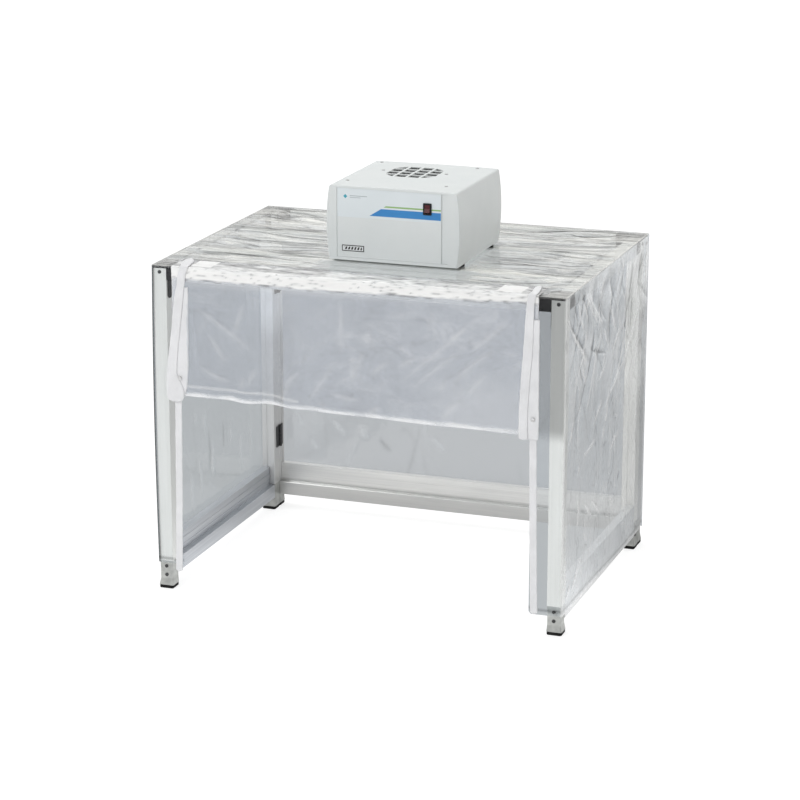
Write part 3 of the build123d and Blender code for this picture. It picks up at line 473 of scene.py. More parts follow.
def badge_sheet():
    """White plate with a black frame and a row of slanted black bars."""
    t = Tree("badge_sheet")
    sep = t.node("ShaderNodeSeparateXYZ", Vector=t.node("ShaderNodeTexCoord").outputs["Object"])
    lo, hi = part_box("unit_badge")

    def step(v, at, w=0.00025):
        m = t.node("ShaderNodeMapRange", Value=v)
        m.inputs["From Min"].default_value, m.inputs["From Max"].default_value = at - w, at + w
        return m.outputs[0]

    def inside(v, a, b):
        return t.math("SUBTRACT", step(v, a), step(v, b))
    x, z = sep.outputs["X"], sep.outputs["Z"]
    field = t.math("MULTIPLY", inside(x, lo.x + 0.0018, hi.x - 0.0018), inside(z, lo.z + 0.0018, hi.z - 0.0018))
    row = t.math("MULTIPLY", inside(x, lo.x + 0.0045, hi.x - 0.0045), inside(z, lo.z + 0.0034, hi.z - 0.0034))
    lean = t.math("MULTIPLY", t.math("SUBTRACT", x, t.math("MULTIPLY", z, 0.35)), 1 / 0.0068)
    bar = step(t.math("FRACT", lean), 0.42, 0.03)
    broad = t.noise(t.coords(), 60.0, 3.0)
    white = t.ramp(broad, [(0.3, (0.70, 0.72, 0.72)), (0.7, (0.74, 0.76, 0.76))])
    col = t.mix(field, (0.02, 0.02, 0.02), white)
    col = t.mix(t.math("MULTIPLY", row, bar), col, (0.022, 0.022, 0.022))
    return t.finish(principled(t, col, t.ramp(broad, [(0.3, 0.40), (0.7, 0.30)]), 0.0,
                               t.bump(t.noise(t.coords(), 900.0, 2.0), 0.05, 0.0002)))


def rocker_red():
    t = Tree("rocker_red")
    broad = t.noise(t.coords(), 90.0, 3.0)
    col = t.ramp(broad, [(0.3, (0.055, 0.004, 0.006)), (0.7, (0.085, 0.006, 0.008))])
    return t.finish(principled(t, col, t.ramp(broad, [(0.3, 0.30), (0.7, 0.22)]), 0.0,
                               t.bump(t.noise(t.coords(), 500.0), 0.05, 0.0002), spec=0.35))


M["label"] = label_sheet()
M["rocker"] = rocker_red()
M["badge"] = badge_sheet()
M["film_side"] = film("film_side", (0.945, 0.957, 0.966), 0.03, body=(0.88, 0.885, 0.88), streak=(6, 6, 1.5), ior=1.27,
                     lines=(13, 22, 8), light=0.30, crease_line_shade=0.30)
M["film_back"] = film("film_back", (0.955, 0.96, 0.97), 0.02, streak=(9, 9, 0.8))
M["film_left"] = film("film_left", (0.935, 0.948, 0.958), 0.03, streak=(9, 14, 0.8), ior=1.27)
M["film_roof"] = film("film_roof", (0.935, 0.945, 0.94), 0.04, body=(0.88, 0.875, 0.84), streak=(1.2, 14, 5), ripple=0.30,
                     ior=1.50, lines=(4, 26, 10), light=0.22, crease_line_shade=0.60)
M["film_curtain"] = film("film_curtain", (0.915, 0.925, 0.943), 0.01, body=(0.89, 0.89, 0.88), streak=(3, 3, 2),
                         ior=1.36, lines=(7, 30, 14), light=0.05, crease_line_shade=0.05)

node_mats = {}
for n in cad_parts:
    if n in ("post_back_left", "post_back_right", "post_left_rear"):
        m = "alu_back"
    elif n.startswith("post_"):
        m = "alu_z"
    elif n in ("rail_left_top", "rail_left_bottom"):
        m = "alu_left_shaded"
    elif n in ("rail_right_top", "rail_right_bottom"):
        m = "alu_y"
    elif n.startswith(("rail_", "cross_rail_front", "cross_rail_rear")):
        m = "alu_x"
    elif n.startswith("foot_") and n != "foot_soles":
        m = "cast"
    elif n in ("foot_soles", "unit_feet"):
        m = "rubber"
    elif n.startswith("joint_") or n in ("switch_body", "mains_inlet"):
        m = "black"
    elif n == "frame_screws":
        m = "screw"
    elif n in ("unit_screws", "film_snaps", "cross_rail_brackets"):
        m = "zinc"
    elif n.startswith("hinge_"):
        m = "hinge"
    elif n in ("unit_cover", "unit_front_panel", "unit_back_panel", "unit_base"):
        m = "paint"
    elif n == "unit_label":
        m = "label"
    elif n == "unit_badge":
        m = "badge"
    elif n == "filter_gasket":
        m = "gasket"
    elif n == "filter_frame":
        m = "alu_x"
    elif n == "filter_media":
        m = "paper"
    elif n in ("fan_housing", "fan_impeller"):
        m = "fan"
    elif n == "fan_motor":
        m = "motor"
    elif n == "unit_leads":
        m = "lead"
    elif n == "switch_rocker":
        m = "rocker"
    else:
        m = "tape"
    node_mats[n] = m
for n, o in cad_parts.items():
    for s in o.material_slots:
        s.material = M[node_mats[n]]

# ------------------------------------------------------------------ creases that show in the photo
# kind (1 light: a raised crease with painted highlight, -1 dark: a groove with painted shade) and path in mm: on the
# side and back films (depth or width, height), on the roof (width, depth), on the curtain (width, height)
RIGHT = (
    (1, ((-194, 698), (-170, 668), (-122, 632), (-73, 595))), (1, ((-163, 679), (-115, 638), (-50, 594))),
    (1, ((-237, 681), (-228, 652), (-196, 614))), (-1, ((-253, 699), (-251, 674), (-234, 641))),
    (-1, ((-209, 702), (-184, 663), (-152, 626), (-165, 600))),
    (1, ((-323, 670), (-277, 627), (-223, 585), (-184, 546))),
    (-1, ((-301, 665), (-255, 622), (-193, 573), (-130, 532))), (-1, ((49, 648), (19, 616), (7, 576), (11, 518))),
    (1, ((35, 517), (66, 535), (97, 554))),
    (1, ((148, 724), (129, 658), (127, 582), (126, 506), (81, 453), (3, 416), (-57, 380))),
    (1, ((287, 679), (260, 607), (207, 530), (152, 483), (82, 444), (11, 423))),
    (-1, ((186, 674), (168, 595), (165, 529))), (1, ((303, 698), (300, 632), (291, 553))),
    (-1, ((269, 683), (249, 632), (228, 581))), (1, ((-21, 518), (-42, 493), (-88, 477))),
    (1, ((-198, 532), (-165, 492))), (-1, ((-221, 547), (-188, 505))), (1, ((-45, 429), (-75, 411), (-104, 388))),
    (1, ((4, 411), (-3, 391), (-9, 371))), (1, ((-258, 443), (-279, 420), (-299, 396))),
    (1, ((-25, 366), (-38, 340))), (1, ((-87, 358), (-132, 347), (-178, 344))),
    (1, ((108, 321), (52, 314), (29, 299), (39, 271))), (1, ((-207, 338), (-221, 314))),
    (-1, ((116, 229), (101, 206))), (1, ((-217, 266), (-208, 231), (-221, 202))), (1, ((-179, 245), (-106, 193))),
    (1, ((-116, 231), (-34, 175))), (1, ((-193, 128), (-229, 103), (-258, 75))), (1, ((-266, 96), (-294, 71))),
    (-1, ((-327, 631), (-311, 598))), (1, ((10, 631), (30, 579), (64, 553))),
    (-1, ((-78, 660), (-76, 629), (-58, 600))), (1, ((-41, 579), (-6, 536))),
    (-1, ((-133, 571), (-116, 550), (-21, 526))), (1, ((237, 579), (234, 513), (212, 473))),)
ROOF = (
    (-1, ((-407, 309), (-362, 301), (-305, 304))), (-1, ((-363, 278), (-325, 268), (-287, 258))),
    (-1, ((-373, 113), (-341, 92), (-318, 100))), (-1, ((-322, 109), (-273, 105), (-226, 99))),
    (-1, ((-408, 2), (-389, 14), (-323, -22))), (-1, ((-372, -39), (-338, -54), (-304, -68))),
    (-1, ((-342, -76), (-319, -94))), (-1, ((-373, -113), (-339, -122))),
    (-1, ((-286, -88), (-231, -89), (-168, -51))), (-1, ((-252, -122), (-198, -114), (-156, -83))),
    (-1, ((-300, 162), (-256, 122), (-234, 107))), (1, ((-354, -169), (-293, -188), (-258, -180))),
    (1, ((-248, -182), (-180, -188), (-131, -160))), (1, ((-354, 54), (-305, 27), (-273, 28))),
    (1, ((-338, 240), (-297, 208), (-268, 196))), (1, ((-333, -120), (-278, -132), (-229, -140))),
    (1, ((-398, -48), (-372, -71))), (-1, ((-179, -247), (-143, -254), (-43, -257), (75, -253))),
    (-1, ((75, -253), (140, -254), (204, -255), (271, -250), (338, -244))), (-1, ((-283, -293), (-260, -295))),
    (-1, ((-393, -233), (-343, -231), (-258, -245))), (-1, ((130, 252), (279, 289), (424, 340))),
    (-1, ((285, 269), (355, 261))), (-1, ((174, 96), (220, 107), (309, 107), (395, 117), (444, 145))),
    (-1, ((164, -66), (227, -59), (290, -51), (336, -45))), (-1, ((166, -100), (223, -114), (253, -104))),
    (-1, ((284, -102), (338, -103), (388, -119))), (-1, ((367, -34), (409, -29))), (-1, ((212, -9), (257, -13))),
    (1, ((150, 189), (217, 191), (291, 185))), (1, ((197, 37), (253, 36), (307, 25))), (1, ((291, 19), (345, -2))),
    (1, ((261, -130), (310, -151), (359, -153))), (1, ((349, -175), (409, -192))), (1, ((315, 204), (384, 186))),
    (1, ((323, 61), (386, 53))), (1, ((165, 140), (211, 135))), (-1, ((392, 85), (419, 74), (443, 83))),
    (-1, ((282, 87), (347, 90))), (1, ((352, -69), (396, -82))), (1, ((-88, -166), (9, -190))),
    (-1, ((262, -168), (303, -191))), (-1, ((386, -264), (429, -267))),)
FRONT = (
    (1, ((-349, 630), (-276, 585), (-236, 555), (-219, 539))), (1, ((-239, 646), (-251, 609), (-265, 573))),
    (1, ((-319, 573), (-301, 547), (-282, 516))), (1, ((-208, 510), (-224, 492), (-235, 467))),
    (1, ((-242, 490), (-249, 459))), (1, ((-141, 482), (-157, 448))), (1, ((-44, 529), (-73, 488), (-98, 450))),
    (1, ((-3, 550), (-1, 491))), (1, ((23, 569), (10, 534), (-3, 507))), (1, ((80, 551), (56, 534), (38, 518))),
    (1, ((140, 564), (114, 550), (97, 538))), (1, ((274, 661), (218, 611), (161, 560), (97, 504))),
    (1, ((233, 587), (178, 543), (131, 501))), (-1, ((250, 613), (252, 589))),
    (1, ((288, 546), (267, 520), (246, 493))), (1, ((232, 483), (210, 462), (191, 435))),
    (1, ((60, 456), (40, 441), (23, 433))), (1, ((241, 637), (208, 601))), (1, ((199, 522), (187, 495))),
    (1, ((-117, 510), (-139, 491), (-153, 477))), (1, ((-51, 473), (-18, 464), (19, 463))),
    (1, ((333, 662), (296, 621), (250, 584))), (-1, ((-156, 574), (-157, 506))),
    (1, ((-28, 669), (-24, 607), (-27, 560))), (-1, ((122, 644), (186, 641))),
    (1, ((302, 593), (250, 555), (212, 514))), (1, ((37, 612), (28, 578))),
    (1, ((-341, 503), (-307, 484), (-269, 475))),)
BACK = (
    (1, ((-292, 213), (-277, 195), (-262, 175))), (1, ((-227, 202), (-208, 175))), (1, ((-386, 223), (-367, 191))),
    (1, ((-56, 197), (-17, 163))), (-1, ((-178, 176), (-149, 150))), (1, ((-352, 168), (-332, 136))),)
LEFT = (
    (1, ((-117, 338), (-108, 304))), (1, ((-69, 319), (-60, 279))), (1, ((81, 269), (84, 200))),
    (1, ((-22, 246), (-21, 152))), (-1, ((36, 276), (38, 205))), (1, ((-95, 232), (-84, 125))),
    (1, ((-145, 212), (-129, 97))), (1, ((137, 225), (139, 129))), (-1, ((-43, 275), (-37, 180))),
    (1, ((197, 220), (200, 147))), (1, ((-131, 590), (-99, 483), (-97, 403))),)

# ------------------------------------------------------------------ film: shared sizes (mm)
HALF = 448.0            # middle of the side films
ROOF_Z = 708.8
STRIP_Y = -321.3
BACK_Y = 324.4
RAILS_Y = ((-319, -289), (-148, -118), (73, 103), (292, 322))
T_FILM = 0.5 * MM
unit_lo, unit_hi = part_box("unit_base")
UX, UY = (unit_lo.x + unit_hi.x) / 2 / MM, (unit_lo.y + unit_hi.y) / 2 / MM
UW, UD = (unit_hi.x - unit_lo.x) / MM, (unit_hi.y - unit_lo.y) / MM


def crease(acc, u, v, path, width, amp, sharp=1.35):
    """Adds one crease of this height to acc, along a path of (u, v) points, tapering at both ends."""
    pts = np.array(path, float)
    for _ in range(2):
        if len(pts) > 2:
            q = np.repeat(pts, 2, 0)[1:-1]
            q = np.stack([q[0::2] * 0.75 + q[1::2] * 0.25, q[0::2] * 0.25 + q[1::2] * 0.75], 1).reshape(-1, 2)
            pts = np.concatenate([pts[:1], q, pts[-1:]])
    lo, hi = pts.min(0) - 4 * width, pts.max(0) + 4 * width
    m = (u > lo[0]) & (u < hi[0]) & (v > lo[1]) & (v < hi[1])
    if not m.any():
        return
    uu, vv = u[m], v[m]
    best, along = np.full(uu.shape, 1e9), np.zeros(uu.shape)
    run = 0.0
    for k in range(len(pts) - 1):
        d = pts[k + 1] - pts[k]
        n = max(np.hypot(*d), 1e-6)
        d = d / n
        t = np.clip((uu - pts[k][0]) * d[0] + (vv - pts[k][1]) * d[1], 0, n)
        dist = np.hypot(uu - pts[k][0] - t * d[0], vv - pts[k][1] - t * d[1])
        near = dist < best
        best, along = np.where(near, dist, best), np.where(near, run + t, along)
        run += n
    taper = np.sin(np.pi * np.clip(along / run, 0.0, 1.0)) ** 0.6
    acc[m] += amp * taper * np.exp(-(best / (width * (0.4 + 0.6 * taper))) ** sharp)


def bent(h, u, v, k):
    """How sharply a height field bends: up to 1 on its crests, down to -1 in its valleys."""
    hu = np.gradient(np.gradient(h, u, axis=0), u, axis=0)
    hv = np.gradient(np.gradient(h, v, axis=1), v, axis=1)
    return np.clip(-(hu + hv) * k, -1, 1)


def scatter(rng, n, box, length, angle, spread):
    """Random slightly bent crease paths inside a box."""
    out = []
    for _ in range(n):
        x, y = rng.uniform(box[0], box[1]), rng.uniform(box[2], box[3])
        th = math.radians(angle + rng.normal(0, spread))
        L = rng.uniform(*length) / 2
        dx, dy = L * math.cos(th), L * math.sin(th)
        k = rng.uniform(-0.22, 0.22)
        out.append([(x - dx, y - dy), (x + k * dy, y - k * dx), (x + dx, y + dy)])
    return out


def spans_y(y):
    """0 over the rails that cross the roof, 1 in the free spans between them."""
    s = np.ones_like(y)
    for a, b in RAILS_Y:
        s = s * (1 - band(y, a, b, 26))
    return s


# ------------------------------------------------------------------ roof film
def make_roof():
    nz, rng = Noise(11), np.random.RandomState(12)
    hole = (UX - 110, UX + 110, UY - 104, UY + 104)
    xs = np.unique(np.concatenate([np.linspace(-448.6, hole[0], 66), np.linspace(hole[0], hole[1], 30),
                                   np.linspace(hole[1], 448.6, 58)]))
    ys = np.unique(np.concatenate([np.linspace(-320.7, hole[2], 94), np.linspace(hole[2], hole[3], 96),
                                   np.linspace(hole[3], 323.8, 112)]))
    X, Y = np.meshgrid(xs, ys, indexing="ij")
    free = spans_y(Y) * (1 - band(X, -460, -412, 40)) * (1 - band(X, 412, 460, 40))
    unit = band(X, UX - UW / 2 - 4, UX + UW / 2 + 4, 16) * band(Y, UY - UD / 2 - 4, UY + UD / 2 + 4, 14)
    front = band(Y, -330, -246, 8) * band(X, -410, 400, 6)
    open_ = (1 - 0.92 * unit) * (1 - 0.8 * front)
    wx = X + 26 * nz.perlin(X / 190, Y / 150)
    wy = Y + 10 * nz.perlin(X / 170 + 5, Y / 130 + 9) - 0.02 * X
    calm = band(X, UX - UW / 2 - 8, UX + UW / 2 + 30, 22) * band(Y, -252, UY - UD / 2 + 6, 6)
    h = (0.5 + free) * (1.15 * nz.facet(wx / 250, wy / 62) + 0.5 * nz.facet(wx / 150 + 3, wy / 30 + 8))
    h += (0.4 + 0.6 * free) * (0.9 * nz.ridged(wx / 330, wy / 60 + 5, 3.5) - 1.0 * nz.ridged(wx / 300 + 7, wy / 52 + 2, 4.0))
    h += (0.35 + 0.65 * free) * (0.16 * nz.facet(wx / 80 + 40, wy / 16 + 7) + 0.5 * nz.perlin(wx / 170, wy / 45 + 5))
    bends = bent(h, xs, ys, 26.0)
    patch = smooth(-0.15, 0.55, nz.facet(wx / 170 + 60, wy / 34 + 21) + 0.4 * nz.perlin(wx / 60, wy / 14 + 30))
    haze, shade = np.zeros_like(h), np.zeros_like(h)
    # painted highlight on the crests and painted shade in the valleys of the roof's folds; the patches add painted
    # reflection as brighter cream areas
    haze += 0.34 * np.clip(bends, 0, 1) ** 1.5 + 0.22 * patch
    shade += 0.75 * np.clip(-bends, 0, 1) ** 1.3
    # painted highlight along the light creases and painted shade along the dark ones, also for the scattered and corner
    # creases
    for kind, path in ROOF:
        crease(h, X, Y, path, 5.5, 1.5 * kind)
        crease(haze if kind > 0 else shade, X, Y, path, 7.0 if kind > 0 else 3.2, 0.34 if kind > 0 else 0.80)
    for k, path in enumerate(scatter(rng, 120, (-430, 430, -300, 310), (30, 190), 1, 6)):
        a = rng.uniform(-1, 1)
        crease(h, X, Y, path, rng.uniform(3.6, 5.6), 0.9 * a)
        if a > 0.35:
            crease(haze, X, Y, path, 5.0, 0.22 * a)
        elif a < -0.45:
            crease(shade, X, Y, path, 3.2, -0.45 * a)
    for sx in (-1, 1):
        for sy in (-1, 1):
            for k, (dx, dy) in enumerate(((150, 60), (175, 105), (110, 120), (205, 30), (60, 90))):
                cx, cy = 418 * sx, 292 * sy
                p = [(cx, cy), (cx - sx * dx * 0.5, cy - sy * dy * 0.42), (cx - sx * dx, cy - sy * dy)]
                crease(h, X, Y, p, 5.5, 1.4 if k % 2 else -1.2)
                crease(haze if k % 2 else shade, X, Y, p, 3.5, 0.25)
    sag = -3.4 * free
    open_ = open_ * (1 - 0.93 * calm)
    h = h * open_
    edge = np.minimum(448.6 - np.abs(X), np.minimum(Y + 320.7, 323.8 - Y))
    h = (h + sag * (1 - unit)) * smooth(-2, 12, edge)
    floor_h = -0.45 - 9 * free
    ceil_h = 4.0 - 3.75 * np.clip(unit + front, 0, 1)
    h = np.clip(h, floor_h, ceil_h)
    Z = ROOF_Z + h
    # painted shade: the gaps beside the rails show as broken dark lines, and short dark lines mark the front rail's
    # rear edge near the corners; the weld round the edge is whiter
    dash = smooth(0.0, 0.35, nz.perlin(Y / 17, X / 400 + 3)) * (1 - unit)
    for sx in (-1, 1):
        shade += 0.85 * dash * band(sx * X, 413.5, 417.5, 2.2) * band(Y, -285, 285, 8)
    shade += 0.8 * band(Y, -292, -288.5, 2.0) * band(X, -446, -380, 6) + 0.8 * band(Y, -292, -288.5, 2.0) * band(X, 372, 446, 6)
    haze += 0.22 * (1 - smooth(0, 6, edge)) + 0.07 * band(np.abs(X), 420, 450, 3)
    shade, haze = np.clip(shade * open_, 0, 0.9), np.clip(haze * open_, 0, 0.8)
    P = np.stack([X, Y, Z], -1) * MM
    xc, yc = (xs[:-1] + xs[1:]) / 2, (ys[:-1] + ys[1:]) / 2
    cells = ~((xc[:, None] > hole[0]) & (xc[:, None] < hole[1]) & (yc[None, :] > hole[2]) & (yc[None, :] < hole[3]))
    quiet = np.clip(unit + calm + 0.7 * front, 0, 1)
    o = shell("roof_sheet", P, T_FILM, M["film_roof"], cells=cells, attrs={"haze": haze, "shade": shade, "quiet": quiet})
    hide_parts("film_roof")
    return o


# ------------------------------------------------------------------ side films
def corner_path(inner, sgn, n_strip, n_side):
    """Horizontal run of a side film: front strip, rounded corner, side panel. Returns points (x, y) and the
    distance run, from the strip's inner edge."""
    r = 2.5
    pts = []
    for x in np.linspace(abs(inner), HALF - r, n_strip):
        pts.append((sgn * x, STRIP_Y))
    for th in np.linspace(0, np.pi / 2, 6)[1:-1]:
        pts.append((sgn * (HALF - r + r * np.sin(th)), STRIP_Y + r - r * np.cos(th)))
    for y in np.linspace(STRIP_Y + r, BACK_Y, n_side):
        pts.append((sgn * HALF, y))
    pts = np.array(pts)
    d = np.concatenate([[0], np.cumsum(np.linalg.norm(np.diff(pts, axis=0), axis=1))])
    return pts, d


def make_side(sgn):
    side = "right" if sgn > 0 else "left"
    nz, rng = Noise(23 if sgn > 0 else 37), np.random.RandomState(24 if sgn > 0 else 38)
    inner = 378.0 if sgn > 0 else -388.0
    ns = 14
    pts, run = corner_path(inner, sgn, ns, 200 if sgn > 0 else 132)
    nv = 210 if sgn > 0 else 140
    on_front = np.arange(len(pts)) < ns + 2
    v = np.linspace(0, 1, nv)
    if sgn > 0:
        v = np.interp(v, [0, 0.28, 1], [0, 0.45, 1])
    y = pts[:, 1]
    if sgn > 0:
        low = np.interp(y, [-321, -299, -36, 90, 178, 300, 312, 324.4], [42, 41, 38, 34, 33, 36, 42, 58])
    else:
        low = np.interp(y, [-321, -299, -36, 90, 178, 300, 312, 324.4], [60, 55, 44, 40, 38, 40, 46, 58])
        low = low + 1.2 * np.sin(y / 40.0)
    toe = np.abs(pts[:, 0]) - abs(inner)
    low = np.where(on_front, np.maximum(low, 40 + 7 - np.sqrt(np.clip(49 - np.clip(7 - toe, 0, 7) ** 2, 0, 49))
                                        + (8 if sgn < 0 else 0)), low)
    Z = low[:, None] + (708.6 - low[:, None]) * v[None, :]
    U = np.repeat(run[:, None] - run[ns], nv, 1)
    Y = np.repeat(y[:, None], nv, 1)
    frontal = np.repeat(on_front[:, None], nv, 1)
    wu = U + 14 * nz.perlin(U / 120, Z / 120)
    wz = Z + 14 * nz.perlin(U / 120 + 40, Z / 120 + 3)
    free = smooth(0, 50, U) * smooth(0, 40, 640 - U) * smooth(0, 50, 706 - Z) * smooth(-20, 90, Z - 40)
    haze, shade = np.zeros_like(Z), np.zeros_like(Z)
    if sgn > 0:
        c, s = math.cos(math.radians(62)), math.sin(math.radians(62))
        a1, b1 = wu * c + wz * s, -wu * s + wz * c
        upper = 0.25 + 0.75 * smooth(330, 500, Z)
        h = (0.3 + 1.3 * free) * nz.perlin(a1 / 230, b1 / 95) + (0.25 + 1.7 * free) * upper * nz.facet(a1 / 150, b1 / 50)
        h += (0.1 + 0.7 * free) * upper * nz.facet(a1 / 66 + 9, b1 / 26 + 4)
        # painted highlight on the crests of the right film's folds and painted shade in their valleys, here and in the
        # creases below; lighter patches high up
        bends = bent(h, run, v * 668, 34.0) * (0.15 + 0.85 * upper)
        haze += 0.42 * np.clip(bends, 0, 1) ** 1.4
        shade += 0.42 * np.clip(-bends, 0, 1) ** 1.3
        haze += 0.13 * upper * smooth(0.0, 0.6, nz.facet(a1 / 120 + 30, b1 / 30 + 11))
        for kind, path in RIGHT:
            crease(h, Y, Z, path, 6.0, 1.8 * kind)
            crease(haze if kind > 0 else shade, Y, Z, path, 3.4, 0.40 if kind > 0 else 0.50)
        for path in scatter(rng, 46, (-300, 300, 380, 690), (40, 130), 118, 22):
            a = rng.uniform(-1, 1)
            crease(h, Y, Z, path, rng.uniform(4.0, 6.5), 1.0 * a)
            crease(haze if a > 0 else shade, Y, Z, path, 3.0, 0.25 * abs(a))
        for path in scatter(rng, 20, (-290, 290, 70, 380), (40, 110), 100, 30):
            a = rng.uniform(-1, 1)
            crease(h, Y, Z, path, rng.uniform(4.0, 7), 0.8 * a)
            crease(haze if a > 0 else shade, Y, Z, path, 4.0, 0.06 * abs(a))
    else:
        h = (0.15 + 0.45 * free) * nz.facet(wu / 50, wz / 330) + (0.15 + 0.5 * free) * nz.perlin(wu / 70, wz / 260)
        h += 0.15 * free * nz.facet(wu / 60, wz / 60)
        # painted highlight along the left film's light creases and painted shade along its dark ones
        for kind, path in LEFT:
            crease(h, Y, Z, path, 6.0, 1.6 * kind)
            crease(haze if kind > 0 else shade, Y, Z, path, 4.5, 0.16)
        for path in scatter(rng, 60, (-300, 300, 80, 690), (60, 240), 88, 9):
            a = rng.uniform(-1, 1)
            crease(h, Y, Z, path, rng.uniform(4.5, 7.0), 0.8 * a)
            crease(haze if a > 0 else shade, Y, Z, path, 4.0, 0.06 * abs(a))
    h = np.where(frontal, 0.22 * nz.perlin(Z / 60, U / 30) + 0.15, h * smooth(-2, 20, U))
    haze, shade = np.where(frontal, 0.0, haze), np.where(frontal, 0.0, shade)
    haze = np.where(frontal, -0.06, haze)
    # painted reflection: the right front strip is darker above about 420 mm, for the grey reflection on the post behind
    # it
    if sgn > 0:
        shade += np.where(frontal, 0.20 * smooth(405, 440, Z), 0.0)
    h = np.maximum(h, -0.9 - 2.6 * free)
    nx = np.where(on_front, 0.0, sgn * 1.0)[:, None]
    ny = np.where(on_front, -1.0, 0.0)[:, None]
    # the left film stands off its front post at half height
    off = (3.2 if sgn < 0 else 0.8) * np.sin(np.pi * v)[None, :] * np.exp(-(np.clip(np.abs(U) - 4, 0, None) / 60) ** 2)
    P = np.stack([pts[:, 0][:, None] + h * nx + sgn * off, y[:, None] + h * ny + 0 * Z, Z], -1) * MM
    hem = 1 - smooth(8, 11, Z - low[:, None])
    haze += 0.07 * hem + 0.10 * band(U, 636, 660, 3) + 0.12 * (1 - smooth(0, 4, 707 - Z))
    # painted highlight and painted shade where the film turns round the front corner: on the right a bright line with a
    # dark line beside it below about 640 mm, on the left a dark line
    if sgn > 0:
        haze += 0.40 * band(U, 0.0, 2.6, 1.2)
        shade += 0.55 * band(U, -4.0, -2.0, 1.2) * smooth(300, 360, 700 - Z + 300)
    else:
        shade += 0.50 * band(U, -1.0, 4.0, 1.5)
    weld = np.abs(Z - low[:, None] - 10)
    shade += 0.25 * (1 - smooth(0.6, 2.4, weld))
    # painted shade: a dark band along the top edge of the front strips, over the joint caps
    shade = np.where(frontal & (Z > 704.5), 0.85, shade)
    o = shell(side + "_sheet", P, T_FILM, M["film_side" if sgn > 0 else "film_left"],
              attrs={"haze": np.clip(haze, -0.1, 0.7), "shade": np.clip(shade, 0, 0.85),
                     "quiet": np.clip(1 - smooth(2, 14, U), 0, 1)}, flip=sgn > 0)
    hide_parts("film_" + side)
    return o


# ------------------------------------------------------------------ back film
def make_back():
    nz, rng = Noise(51), np.random.RandomState(52)
    xs = np.linspace(-448.6, 448.6, 180)
    zs = np.linspace(0, 1, 124)
    low = 38 + 2.5 * np.sin(xs / 90.0) + 1.0 * np.sin(xs / 23.0)
    X = np.repeat(xs[:, None], len(zs), 1)
    Z = low[:, None] + (708.6 - low[:, None]) * zs[None, :]
    free = smooth(0, 60, 446 - np.abs(X)) * smooth(0, 60, 706 - Z) * smooth(-20, 90, Z - 40)
    wx = X + 20 * nz.perlin(X / 150, Z / 150)
    wz = Z + 20 * nz.perlin(X / 150 + 7, Z / 150 + 3)
    h = (0.2 + 0.9 * free) * nz.facet(wx / 90, wz / 260) + 0.5 * free * nz.facet(wx / 60 + 4, wz / 70)
    haze, shade = np.zeros_like(Z), np.zeros_like(Z)
    # painted highlight along the light creases and painted shade along the dark ones
    for kind, path in BACK:
        crease(h, X, Z, path, 6.5, 1.8 * kind)
        crease(haze if kind > 0 else shade, X, Z, path, 5.0, 0.16)
    for path in scatter(rng, 70, (-420, 420, 90, 690), (50, 190), 95, 24):
        a = rng.uniform(-1, 1)
        crease(h, X, Z, path, rng.uniform(5.5, 8.0), 1.5 * a)
        crease(haze if a > 0 else shade, X, Z, path, 4.6, 0.09 * abs(a))
    h = np.maximum(h, -1.2 - 0.6 * free)
    Y = BACK_Y + h * smooth(0, 12, 448.6 - np.abs(X))
    P = np.stack([X, Y, Z], -1) * MM
    hem = 1 - smooth(8, 11, Z - low[:, None])
    haze += 0.08 * hem
    shade += 0.25 * (1 - smooth(0.6, 2.4, np.abs(Z - low[:, None] - 10)))
    o = shell("back_sheet", P, T_FILM, M["film_back"], attrs={"haze": np.clip(haze, 0, 0.6), "shade": np.clip(shade, 0, 0.7)},
              flip=True)
    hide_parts("film_back")
    return o


# ------------------------------------------------------------------ front curtain
def fold_z(x):
    """Height of the curtain's folded edge."""
    base = np.interp(x, [-402, -364, -260, -118, 101, 208, 356, 377, 391], [432, 434, 434.5, 430, 425, 423.5, 423, 416, 413])
    return base + 2.4 * np.sin(x / 17.0) * band(x, -250, -120, 60) + 0.7 * np.sin(x / 31.0)


